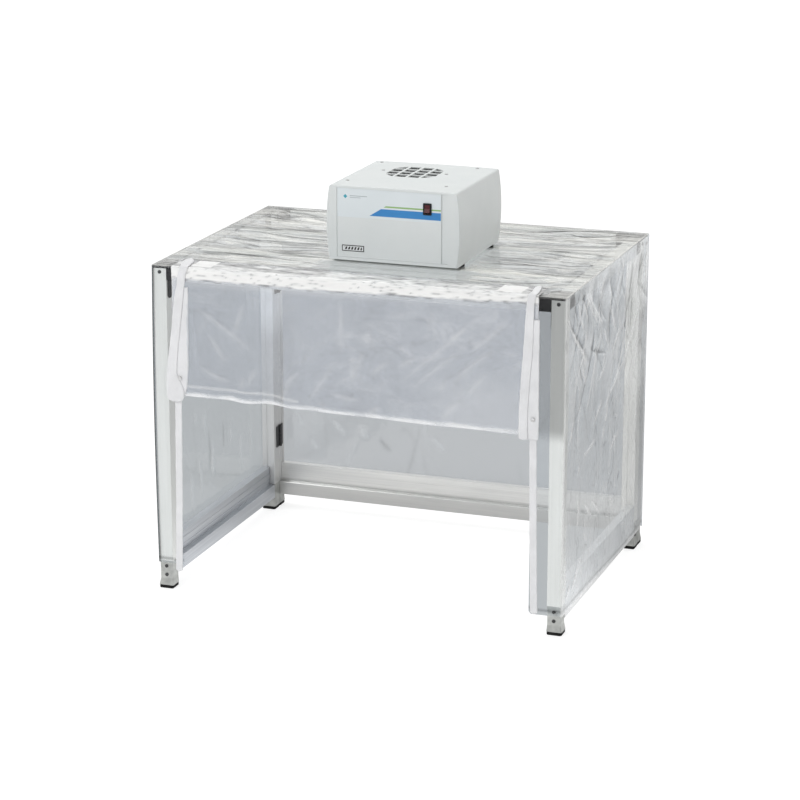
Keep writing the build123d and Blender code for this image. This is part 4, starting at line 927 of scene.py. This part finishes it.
def curtain_surface(xs, nz, rng):
    """Points of the curtain for each x: from its rear edge on the roof, over the front edge, down the outer
    layer, round the fold and up the inner layer. Returns P[i, j] in mm and the part each row belongs to."""
    n_roof, n_bend, n_front, n_fold, n_back = 30, 7, 88, 12, 50
    X = xs
    zf = fold_z(X)
    edge = np.abs(X - (-5.5)) / 396.5
    open_mid = 1 - smooth(0.86, 0.95, edge)          # away from the strips and tapes behind the ends
    part, P = [], []
    rear = -250 + 3.0 * nz.perlin(X / 70, 0.7) + 1.2 * nz.perlin(X / 18, 2.7)
    for k in range(n_roof):
        t = k / (n_roof - 1)
        yy = rear + t * (-319.8 - rear)
        w = 1.0 * nz.facet(X / 52 + 2, yy / 18) + 0.8 * nz.ridged(X / 70 + 3, yy / 17, 2.5) + 0.25 * nz.facet(X / 19, yy / 9)
        w = np.clip(w + 0.3, 0, 3.2) * smooth(0, 0.10, t) * (0.25 + 0.75 * open_mid)
        P.append(np.stack([X, yy, 710.75 + w], -1))
        part.append(0)
    y0, z0, r = -323.9, 711.5, 4.0
    for k in range(1, n_bend + 1):
        th = k / (n_bend + 1) * np.pi / 2
        w = 0.5 * open_mid * (nz.facet(X / 30 + 8, th * 1.2) + 0.6)
        P.append(np.stack([X, y0 + r - (r + w) * np.sin(th), z0 - r + (r + w) * np.cos(th)], -1))
        part.append(1)
    zt = z0 - r
    zz = np.stack([zt + k / (n_front - 1) * (zf + 5.0 - zt) for k in range(n_front)], 1)
    XX = np.repeat(X[:, None], n_front, 1)
    tt = np.linspace(0, 1, n_front)[None, :] + 0 * XX
    om = open_mid[:, None]
    wx = XX + 18 * nz.perlin(XX / 120, zz / 120)
    wz = zz + 18 * nz.perlin(XX / 120 + 4, zz / 120 + 8)
    c, s = math.cos(math.radians(38)), math.sin(math.radians(38))
    a, b = wx * c + wz * s, -wx * s + wz * c
    h = 1.6 * nz.perlin(XX / 210, zz / 130 + 2) + 0.7 * nz.facet(a / 150, b / 60) + 0.5 * nz.facet(a / 70 + 5, b / 34)
    haze, shade = np.zeros_like(h), np.zeros_like(h)
    # painted highlight along the light creases and painted shade along the dark ones
    for kind, path in FRONT:
        crease(h, XX, zz, path, 6.5, 2.0 * kind)
        crease(haze if kind > 0 else shade, XX, zz, path, 5.0, 0.085)
    for path in scatter(rng, 40, (-360, 350, 440, 670), (30, 110), 38, 28):
        q = rng.uniform(-1, 1)
        crease(h, XX, zz, path, rng.uniform(4.5, 7.0), 1.2 * q)
        crease(haze if q > 0 else shade, XX, zz, path, 4.2, 0.045 * abs(q))
    top = smooth(0, 0.06, tt)
    crumple = (1.2 * nz.facet(XX / 44, zz / 17) + 0.8 * nz.ridged(XX / 60, zz / 18, 2.0)) * smooth(680, 694, zz) * top
    soft = smooth(0, 0.2, tt) * (0.12 + 0.88 * om)
    belly = 2.6 * smooth(0.80, 1.0, tt) * (0.3 + 0.7 * om)
    yy = y0 - np.clip((h + 2.0) * soft, 0, 8) - np.clip(crumple, 0, 2) * om - belly
    for k in range(n_front):
        P.append(np.stack([X, yy[:, k], zz[:, k]], -1))
        part.append(2)
    yo = yy[:, -1]
    gap = 3.0 + 4.5 * open_mid
    yi = np.minimum(yo + gap, -322.7 + 6 * open_mid)
    ym, rr = (yo + yi) / 2, (yi - yo) / 2
    for k in range(1, n_fold + 1):
        th = k / (n_fold + 1) * np.pi
        P.append(np.stack([X, ym - rr * np.cos(th), zf + 5.0 - 5.0 * np.sin(th)], -1))
        part.append(3)
    for k in range(n_back):
        t = k / (n_back - 1)
        z = zf + 5.0 + t * (706.0 - zf - 5.0)
        up_ = smooth(0.78, 0.95, t)
        w = (1.6 * nz.perlin(X / 170 + 20, z / 140) + 0.8 * nz.facet(X / 110 + 3, z / 70)) * open_mid * (1 - up_)
        y = yi * (1 - smooth(0, 0.12, t)) + smooth(0, 0.12, t) * (-322.4 + open_mid * (1.2 + w) * (1 - up_) + 0.5 * up_)
        y = np.minimum(y, np.where(np.abs(X + 5) > 372, -322.3, -319.4 + 3.5 * (1 - up_)))
        P.append(np.stack([X, y, z], -1))
        part.append(4)
    part = np.array(part)
    P = np.stack(P, 1)
    H, S = np.zeros(P.shape[:2]), np.zeros(P.shape[:2])
    H[:, part == 2], S[:, part == 2] = haze, shade
    return P, part, H, S


def make_curtain():
    nz, rng = Noise(77), np.random.RandomState(78)
    xs = np.linspace(-402, 391, 214)
    P, part, haze, shade = curtain_surface(xs, nz, rng)
    X, Z = P[..., 0], P[..., 2]
    zf = fold_z(xs)[:, None]
    pr = part[None, :] + 0 * X
    mottle = 0.5 + 0.5 * np.clip(1.3 * nz.facet(X / 46, P[..., 1] / 15 + Z / 15) + 0.35 * nz.facet(X / 17, Z / 9 + P[..., 1] / 9), -1, 1)
    yy = P[..., 1]
    ridge = nz.ridged(X / 80 + 9, yy / 11, 7.0) + 0.8 * nz.ridged(X / 48 + 2, yy / 8 + 4, 8.0)
    # whiteness of the curtain's top part and front edge: partly the milky hem, partly painted highlight; thin lines of
    # painted shade cross it
    haze += np.where(pr == 0, 0.16 + (0.18 + 0.50 * mottle) * smooth(-262, -282, yy), 0.0)
    haze += np.where(pr == 1, 0.60 + 0.30 * mottle, 0.0)
    shade += np.where(pr == 0, 0.60 * np.clip(ridge, 0, 1), 0.0)
    cut = np.where(pr <= 1, 1 - 0.75 * np.clip(ridge, 0, 1), 1.0)
    zed = np.interp(X, [-366, -71, 101, 270, 353], [687, 686, 690, 693, 696])
    # the bright band at the top of the front layer: partly milky film, partly painted highlight
    haze += np.where(pr == 2, (0.64 + 0.30 * mottle) * smooth(-2.0, 1.5, Z - zed + 1.4 * nz.perlin(X / 26, 3.3)), 0.0)
    # whiter towards the lower right
    haze += np.where(pr == 2, 0.07 * smooth(120, 260, X) * (1 - smooth(470, 560, Z)), 0.0)
    haze += np.where(pr == 2, 0.12 * smooth(-22, 0, Z - zed), 0.0)
    hem = (0.30 + 0.22 * nz.perlin(X / 40, 1.8)) * (1 - smooth(5, 12, Z - zf - 3 * nz.perlin(X / 60, 8.8)))
    haze += np.where(np.isin(pr, (2, 3)), np.clip(hem, 0.05, 1), 0.0)
    second = np.exp(-((Z - zf - 22 - 8 * smooth(-300, -120, X) + 12 * smooth(-260, -120, X)) / 2.2) ** 2) * (X < -120)
    haze += np.where(pr == 2, 0.22 * second, 0.0)
    haze += np.where(pr == 4, 0.10 * (1 - smooth(6, 10, Z - zf)), 0.0)
    haze += 0.10 * (1 - smooth(0, 9, np.minimum(X + 402, 391 - X)))
    # painted shade where the top part is less white, and a painted shadow along its rear edge
    shade += np.where(pr == 0, 0.55 * (1 - mottle) ** 2, 0.0)
    shade += np.where(pr == 0, 0.7 * (1 - smooth(0, 3.0, P[..., 1][:, :1] - P[..., 1])), 0.0)
    # painted shade: a dark outline under the bright band
    shade += np.where(pr == 2, 0.5 * np.exp(-((Z - zed + 2.5 + 1.4 * nz.perlin(X / 26, 3.3)) / 1.6) ** 2)
                      * smooth(0.1, 0.4, nz.perlin(X / 28, 6.6)), 0.0)
    # painted shade: thin dark lines across the bright band, where its whiteness is cut back
    over = nz.ridged(X / 70 + 5, Z / 8 + 3, 8.0)
    cut = np.where((pr == 2) & (Z > zed - 2), 1 - 0.7 * over, cut)
    haze = haze * cut
    shade += np.where((pr == 2) & (Z > zed - 2), 0.5 * over, 0.0)
    pads = (band(X, -363, -320, 1) + band(X, 300, 350, 1)) * band(P[..., 1], -312, -262, 1) * (pr == 0)
    haze = np.where(pads > 0.5, 0.86, haze)
    o = shell("curtain_sheet", P * MM, 0.4 * MM, M["film_curtain"],
              attrs={"haze": np.clip(haze, 0, 0.92), "shade": np.clip(shade * (pads < 0.5), 0, 0.8)}, flip=False)
    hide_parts("front_curtain")
    return o


roof = make_roof()
film_l = make_side(-1)
film_r = make_side(1)
film_b = make_back()
curtain = make_curtain()


# ------------------------------------------------------------------ tapes
def ribbon(name, rows, seed, mat, thick=0.7, nu=11, roof_until=None, wave=0.5):
    """Tape that follows rows of (y, z, x0, x1) in mm, resampled evenly."""
    nz = Noise(seed)
    R = np.array(rows, float)
    s = np.concatenate([[0], np.cumsum(np.hypot(np.diff(R[:, 0]), np.diff(R[:, 1])))])
    n = max(12, int(s[-1] / 2.6))
    t = np.linspace(0, s[-1], n)
    y, z, x0, x1 = (np.interp(t, s, R[:, k]) for k in range(4))
    u = np.linspace(0, 1, nu)
    X = x0[:, None] + (x1 - x0)[:, None] * u[None, :]
    X = X + 0.45 * nz.perlin(t[:, None] / 24, 0.3 + 0 * u[None, :])
    T = np.repeat(t[:, None], nu, 1)
    w = np.abs(wave * nz.perlin(X / 12, T / 40) + 0.4 * wave * nz.facet(X / 8, T / 22))
    dy, dz = np.gradient(y), np.gradient(z)
    L = np.maximum(np.hypot(dy, dz), 1e-6)
    out_y, out_z = dz / L, -dy / L            # outward: up on the roof, to the front below
    P = np.stack([X, y[:, None] + out_y[:, None] * w, z[:, None] + out_z[:, None] * w], -1) * MM
    o = shell(name, P, thick * MM, mat)
    return o, s[-1]


def front_rows(stations, tip, lift):
    """Rows of a tape that starts on the roof at depth tip, turns over the front edge and runs down."""
    e = np.array(stations, float)
    order = np.argsort(e[:, 0])

    def xs_at(h):
        return float(np.interp(h, e[order, 0], e[order, 1])), float(np.interp(h, e[order, 0], e[order, 2]))
    rows = []
    for k in range(22):
        yy = tip + k / 21 * (-321.0 - tip)
        a, b = xs_at(711 + (yy + 325))
        m = (a + b) / 2
        f = 0.25 + 0.75 * math.sin(min(1.0, k / 5.0) * math.pi / 2)
        rows.append((yy, 713.0 + lift, m + (a - m) * f, m + (b - m) * f))
    for k in range(1, 7):
        th = k / 7 * math.pi / 2
        a, b = xs_at(711)
        rows.append((-320.6 - (4.6 + lift) * math.sin(th), 708.4 + (4.6 + lift) * math.cos(th), a, b))
    return rows, xs_at


def round_end(rows, xs_at, z0, z1, y, y_low, round_=None):
    n = 110
    for k in range(n):
        z = z0 + k / (n - 1) * (z1 - z0)
        a, b = xs_at(z)
        m, R = (a + b) / 2, round_ or abs(b - a) / 2
        d = z - z1
        f = math.sqrt(max(0.0, 1 - (1 - d / R) ** 2)) if d < R else 1.0
        f = 0.35 + 0.65 * f
        low = float(smooth(0, 1, (470 - z) / 50))
        rows.append((y + (y_low - y) * low, z, m + (a - m) * f, m + (b - m) * f))
    return rows


# (height on the front, outer edge, inner edge); heights over 711 lie back on the roof
rows, at = front_rows([(785, -393, -384), (775, -395, -378), (750, -393, -368), (735, -390, -366), (715, -381, -362),
                       (694, -387, -370), (665, -391, -373), (643, -396, -376), (612, -400.5, -380), (578, -403.5, -384),
                       (546, -408, -388.5), (513, -413, -392), (483, -417, -394), (470, -418.5, -388), (456, -419, -381),
                       (444, -418, -377), (424, -417, -378)], -252, 0.0)
tape_l, len_l = ribbon("curtain_tape_left", round_end(rows, at, 708.0, 421.0, -325.5, -327.4, 13.0), 91, M["tape"])
rows, at = front_rows([(785, 368, 377), (775, 366, 379), (750, 368, 383), (735, 371, 386), (715, 371, 387), (695, 367, 383),
                       (676, 366, 382.5), (650, 364, 382), (609, 362, 381), (573, 359.5, 379), (536, 357, 376),
                       (505, 355, 373.5), (463, 353.5, 372), (432, 353.5, 372), (412, 355, 374)], -250, 0.0)
tape_r, len_r = ribbon("curtain_tape_right", [(y, z, min(a, b), max(a, b)) for y, z, a, b in
                                              round_end(rows, at, 708.0, 412.5, -325.5, -327.4, 2.5)], 92, M["tape"])
inner_l, len_il = ribbon("inner_tape_left", [(-324.6, 668, -391, -365), (-324.6, 656, -394, -364.8),
                                             (-324.6, 560, -397, -366), (-324.6, 480, -400, -368.5),
                                             (-325.4, 452, -402, -371.5), (-325.6, 436, -402, -376.5),
                                             (-325.6, 425, -399, -386)], 93, M["tape"])
inner_r, len_ir = ribbon("inner_tape_right", [(-324.6, 662, 372, 394.5), (-324.6, 560, 371, 394.3),
                                              (-324.6, 470, 368, 395), (-325.6, 425, 366, 395.2),
                                              (-325.6, 414, 366, 394.8)], 94, M["tape"])
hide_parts("curtain_tapes")


def edge_tape(name, sgn):
    nz = Noise(101 if sgn < 0 else 102)
    x_in = -387.0 if sgn < 0 else 377.0
    zs = np.linspace(42, 705, 200)
    us = np.linspace(0, 1, 7)
    drift = np.interp(zs, [42, 200, 420, 705], [-4, -1, 1.5, 1.0]) * (1 if sgn < 0 else -1) * 1.2
    xa = x_in + drift + 0.5 * nz.perlin(zs / 30, 1.0)
    X = xa[:, None] + sgn * 15.5 * us[None, :] + 0 * zs[:, None]
    Z = np.repeat(zs[:, None], 7, 1)
    Z[0] += 5 * (1 - np.sin(np.pi * np.clip(us, 0.1, 0.9)))
    Y = -322.3 - 0.25 * np.abs(nz.perlin(X / 12, Z / 40))
    P = np.stack([X, Y, Z], -1) * MM
    return shell(name, P, 0.6 * MM, M["tape"], flip=sgn < 0)


et_l = edge_tape("edge_tape_left", -1)
et_r = edge_tape("edge_tape_right", 1)
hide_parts("edge_tapes")


def hook_strip():
    """Hook-and-loop pads under the curtain's top part, one near each end, joined by a narrow strip."""
    nz = Noise(111)
    xs = np.linspace(-362, 351, 150)
    us = np.linspace(0, 1, 9)
    pad = band(xs, -362, -322, 3) + band(xs, 304, 351, 3)
    half = 3.0 + 10.5 * np.clip(pad, 0, 1)
    yc = -300 + 1.2 * nz.perlin(xs / 60, 0.5)
    Y = yc[:, None] + half[:, None] * (2 * us[None, :] - 1)
    X = np.repeat(xs[:, None], 9, 1)
    Z = 709.75 + 0.12 * nz.perlin(X / 9, Y / 9)
    o = shell("hook_strip", np.stack([X, Y, Z], -1) * MM, 0.5 * MM, M["tape"])
    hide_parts("curtain_hook_strip")
    return o


hooks = hook_strip()


# ------------------------------------------------------------------ studs on the wide tapes
def lathe(name, profile, origin, axis, mat, body="booth", seg=28):
    """Turned piece: profile lists (radius, height) along axis from origin, in mm."""
    a = Vector(axis).normalized()
    q = a.to_track_quat("Z", "Y")
    verts, faces = [], []
    rows = []
    for r, h in profile:
        if r < 1e-6:
            rows.append([len(verts)])
            verts.append(q @ Vector((0, 0, h)))
        else:
            rows.append(list(range(len(verts), len(verts) + seg)))
            verts += [q @ Vector((r * math.cos(2 * math.pi * k / seg), r * math.sin(2 * math.pi * k / seg), h))
                      for k in range(seg)]
    for A, B in zip(rows, rows[1:]):
        for k in range(seg):
            k2 = (k + 1) % seg
            if len(A) == 1 and len(B) == 1:
                continue
            if len(A) == 1:
                faces.append((A[0], B[k], B[k2]))
            elif len(B) == 1:
                faces.append((A[k], B[0], A[k2]))
            else:
                faces.append((A[k], B[k], B[k2], A[k2]))
    verts = [(Vector(origin) + v) * MM for v in verts]
    faces = [f[::-1] for f in faces]
    return raw_mesh(name, verts, faces, mat, body=body)


stud = [(0, -0.6), (4.2, -0.6), (4.6, 0.0), (4.6, 0.5), (4.1, 0.9), (2.4, 0.95), (2.1, 0.7), (1.6, 0.55), (0, 0.5)]
for name, x, z in (("tape_stud_left", -387, 472), ("tape_stud_right", 383, 456)):
    y = -326.6 if x > 0 else -326.8
    o = lathe(name, stud, (x, y, z), (0, -1, 0), M["zinc"])


# ------------------------------------------------------------------ stage
def plane(name, size, z):
    me = bpy.data.meshes.new(name)
    s = size
    me.from_pydata([(-s, -s, z), (s, -s, z), (s, s, z), (-s, s, z)], [], [(0, 1, 2, 3)])
    o = bpy.data.objects.new(name, me)
    scene.collection.objects.link(o)
    return o


floor = plane("floor", 60.0, -0.0002)
t = Tree("floor_mat")
n = t.noise(t.coords(), 0.8, 2.0)
col = t.ramp(n, [(0.3, (0.40, 0.40, 0.40)), (0.7, (0.41, 0.41, 0.41))])
dif = principled(t, col, 0.85, 0.0, None, spec=0.0)
tc = t.node("ShaderNodeTexCoord").outputs["Object"]
dist = t.node("ShaderNodeVectorMath", {"operation": "LENGTH"}, i0=tc).outputs["Value"]
far = t.node("ShaderNodeMapRange", {"interpolation_type": "SMOOTHSTEP"}, Value=dist)
far.inputs["From Min"].default_value, far.inputs["From Max"].default_value = 1.2, 9.0
far.inputs["To Min"].default_value, far.inputs["To Max"].default_value = FLOOR_NEAR, FLOOR_FAR
em = t.node("ShaderNodeEmission", Color=(1, 1, 1, 1), Strength=far.outputs[0]).outputs[0]
open_floor = t.node("ShaderNodeAddShader", i0=dif, i1=em).outputs[0]
# the pale grey studio ground as it shows behind film, and the light that the ground gives back
film_floor = t.node("ShaderNodeEmission", Color=(0.955, 0.985, 1.0, 1), Strength=FLOOR_BEHIND).outputs[0]
along = t.node("ShaderNodeMapRange", Value=t.node("ShaderNodeSeparateXYZ", Vector=tc).outputs["Y"])
along.inputs["From Min"].default_value, along.inputs["From Max"].default_value = -3.0, 5.0
bounce = t.node("ShaderNodeEmission", Color=t.ramp(along.outputs[0], FLOOR_BOUNCE), Strength=1.0).outputs[0]
ray = t.node("ShaderNodeLightPath")
pick = t.math("GREATER_THAN", ray.outputs["Transparent Depth"], 0.5)
seen = t.node("ShaderNodeMixShader", Fac=pick, i1=open_floor, i2=film_floor).outputs[0]
floor.data.materials.append(t.finish(t.node("ShaderNodeMixShader", Fac=ray.outputs["Is Camera Ray"], i1=bounce,
                                            i2=seen).outputs[0]))

world = bpy.data.worlds.new("studio")
scene.world = world
world.use_nodes = True
wt = world.node_tree
wt.nodes.clear()
wo = wt.nodes.new("ShaderNodeOutputWorld")
bg = wt.nodes.new("ShaderNodeBackground")
tc = wt.nodes.new("ShaderNodeTexCoord")
sp = wt.nodes.new("ShaderNodeSeparateXYZ")
wt.links.new(tc.outputs["Generated"], sp.inputs[0])


def world_ramp(value, stops):
    rp = wt.nodes.new("ShaderNodeValToRGB")
    cr = rp.color_ramp
    while len(cr.elements) < len(stops):
        cr.elements.new(0.5)
    for e, (p, c) in zip(cr.elements, stops):
        e.position = p
        e.color = (c, c, c, 1)
    wt.links.new(value, rp.inputs[0])
    return rp.outputs[0]


def world_math(op, a, b):
    m = wt.nodes.new("ShaderNodeMath")
    m.operation = op
    for k, v in enumerate((a, b)):
        if isinstance(v, bpy.types.NodeSocket):
            wt.links.new(v, m.inputs[k])
        else:
            m.inputs[k].default_value = v
    return m.outputs[0]


height = world_ramp(sp.outputs["Z"], WORLD_HEIGHT)
side = world_ramp(world_math("MULTIPLY_ADD", sp.outputs["X"], 0.5), [(0.0, 1.0), (1.0, 1.0)])
for m in wt.nodes:
    if m.type == "MATH" and m.operation == "MULTIPLY_ADD":
        m.inputs[2].default_value = 0.5
        cr = side.node.color_ramp
        while len(cr.elements) < len(WORLD_SIDE):
            cr.elements.new(0.5)
        for e, (p, c) in zip(cr.elements, WORLD_SIDE):
            e.position = p
            e.color = (c, c, c, 1)
wt.links.new(world_math("MULTIPLY", height, side), bg.inputs[0])
wt.links.new(bg.outputs[0], wo.inputs[0])
bg.inputs[1].default_value = WORLD_POWER


def area(name, loc, target, size, power, color=(1, 1, 1)):
    l = bpy.data.lights.new(name, "AREA")
    l.shape = "RECTANGLE"
    l.size, l.size_y = size
    l.energy = power
    l.color = color
    o = bpy.data.objects.new(name, l)
    o.location = loc
    d = Vector(target) - Vector(loc)
    o.rotation_euler = d.to_track_quat("-Z", "Y").to_euler()
    scene.collection.objects.link(o)
    o.visible_camera = False
    return o


area("key", (-2.2, -3.2, 3.0), (0, 0, 0.5), (2.0, 1.6), KEY)
area("top", (0.0, 0.6, 3.4), (0, 0, 0.6), (2.6, 1.8), TOP)
area("rim", (2.4, 2.6, 2.2), (0.2, 0, 0.4), (1.0, 1.8), RIM, (1.0, 0.96, 0.90))

scene.view_settings.view_transform = "Standard"
scene.view_settings.look = "None"
scene.view_settings.exposure = 0.0
scene.view_settings.gamma = 1.0
scene.cycles.transparent_max_bounces = 32

for o in (roof, film_l, film_r, film_b, curtain):
    o.visible_shadow = False
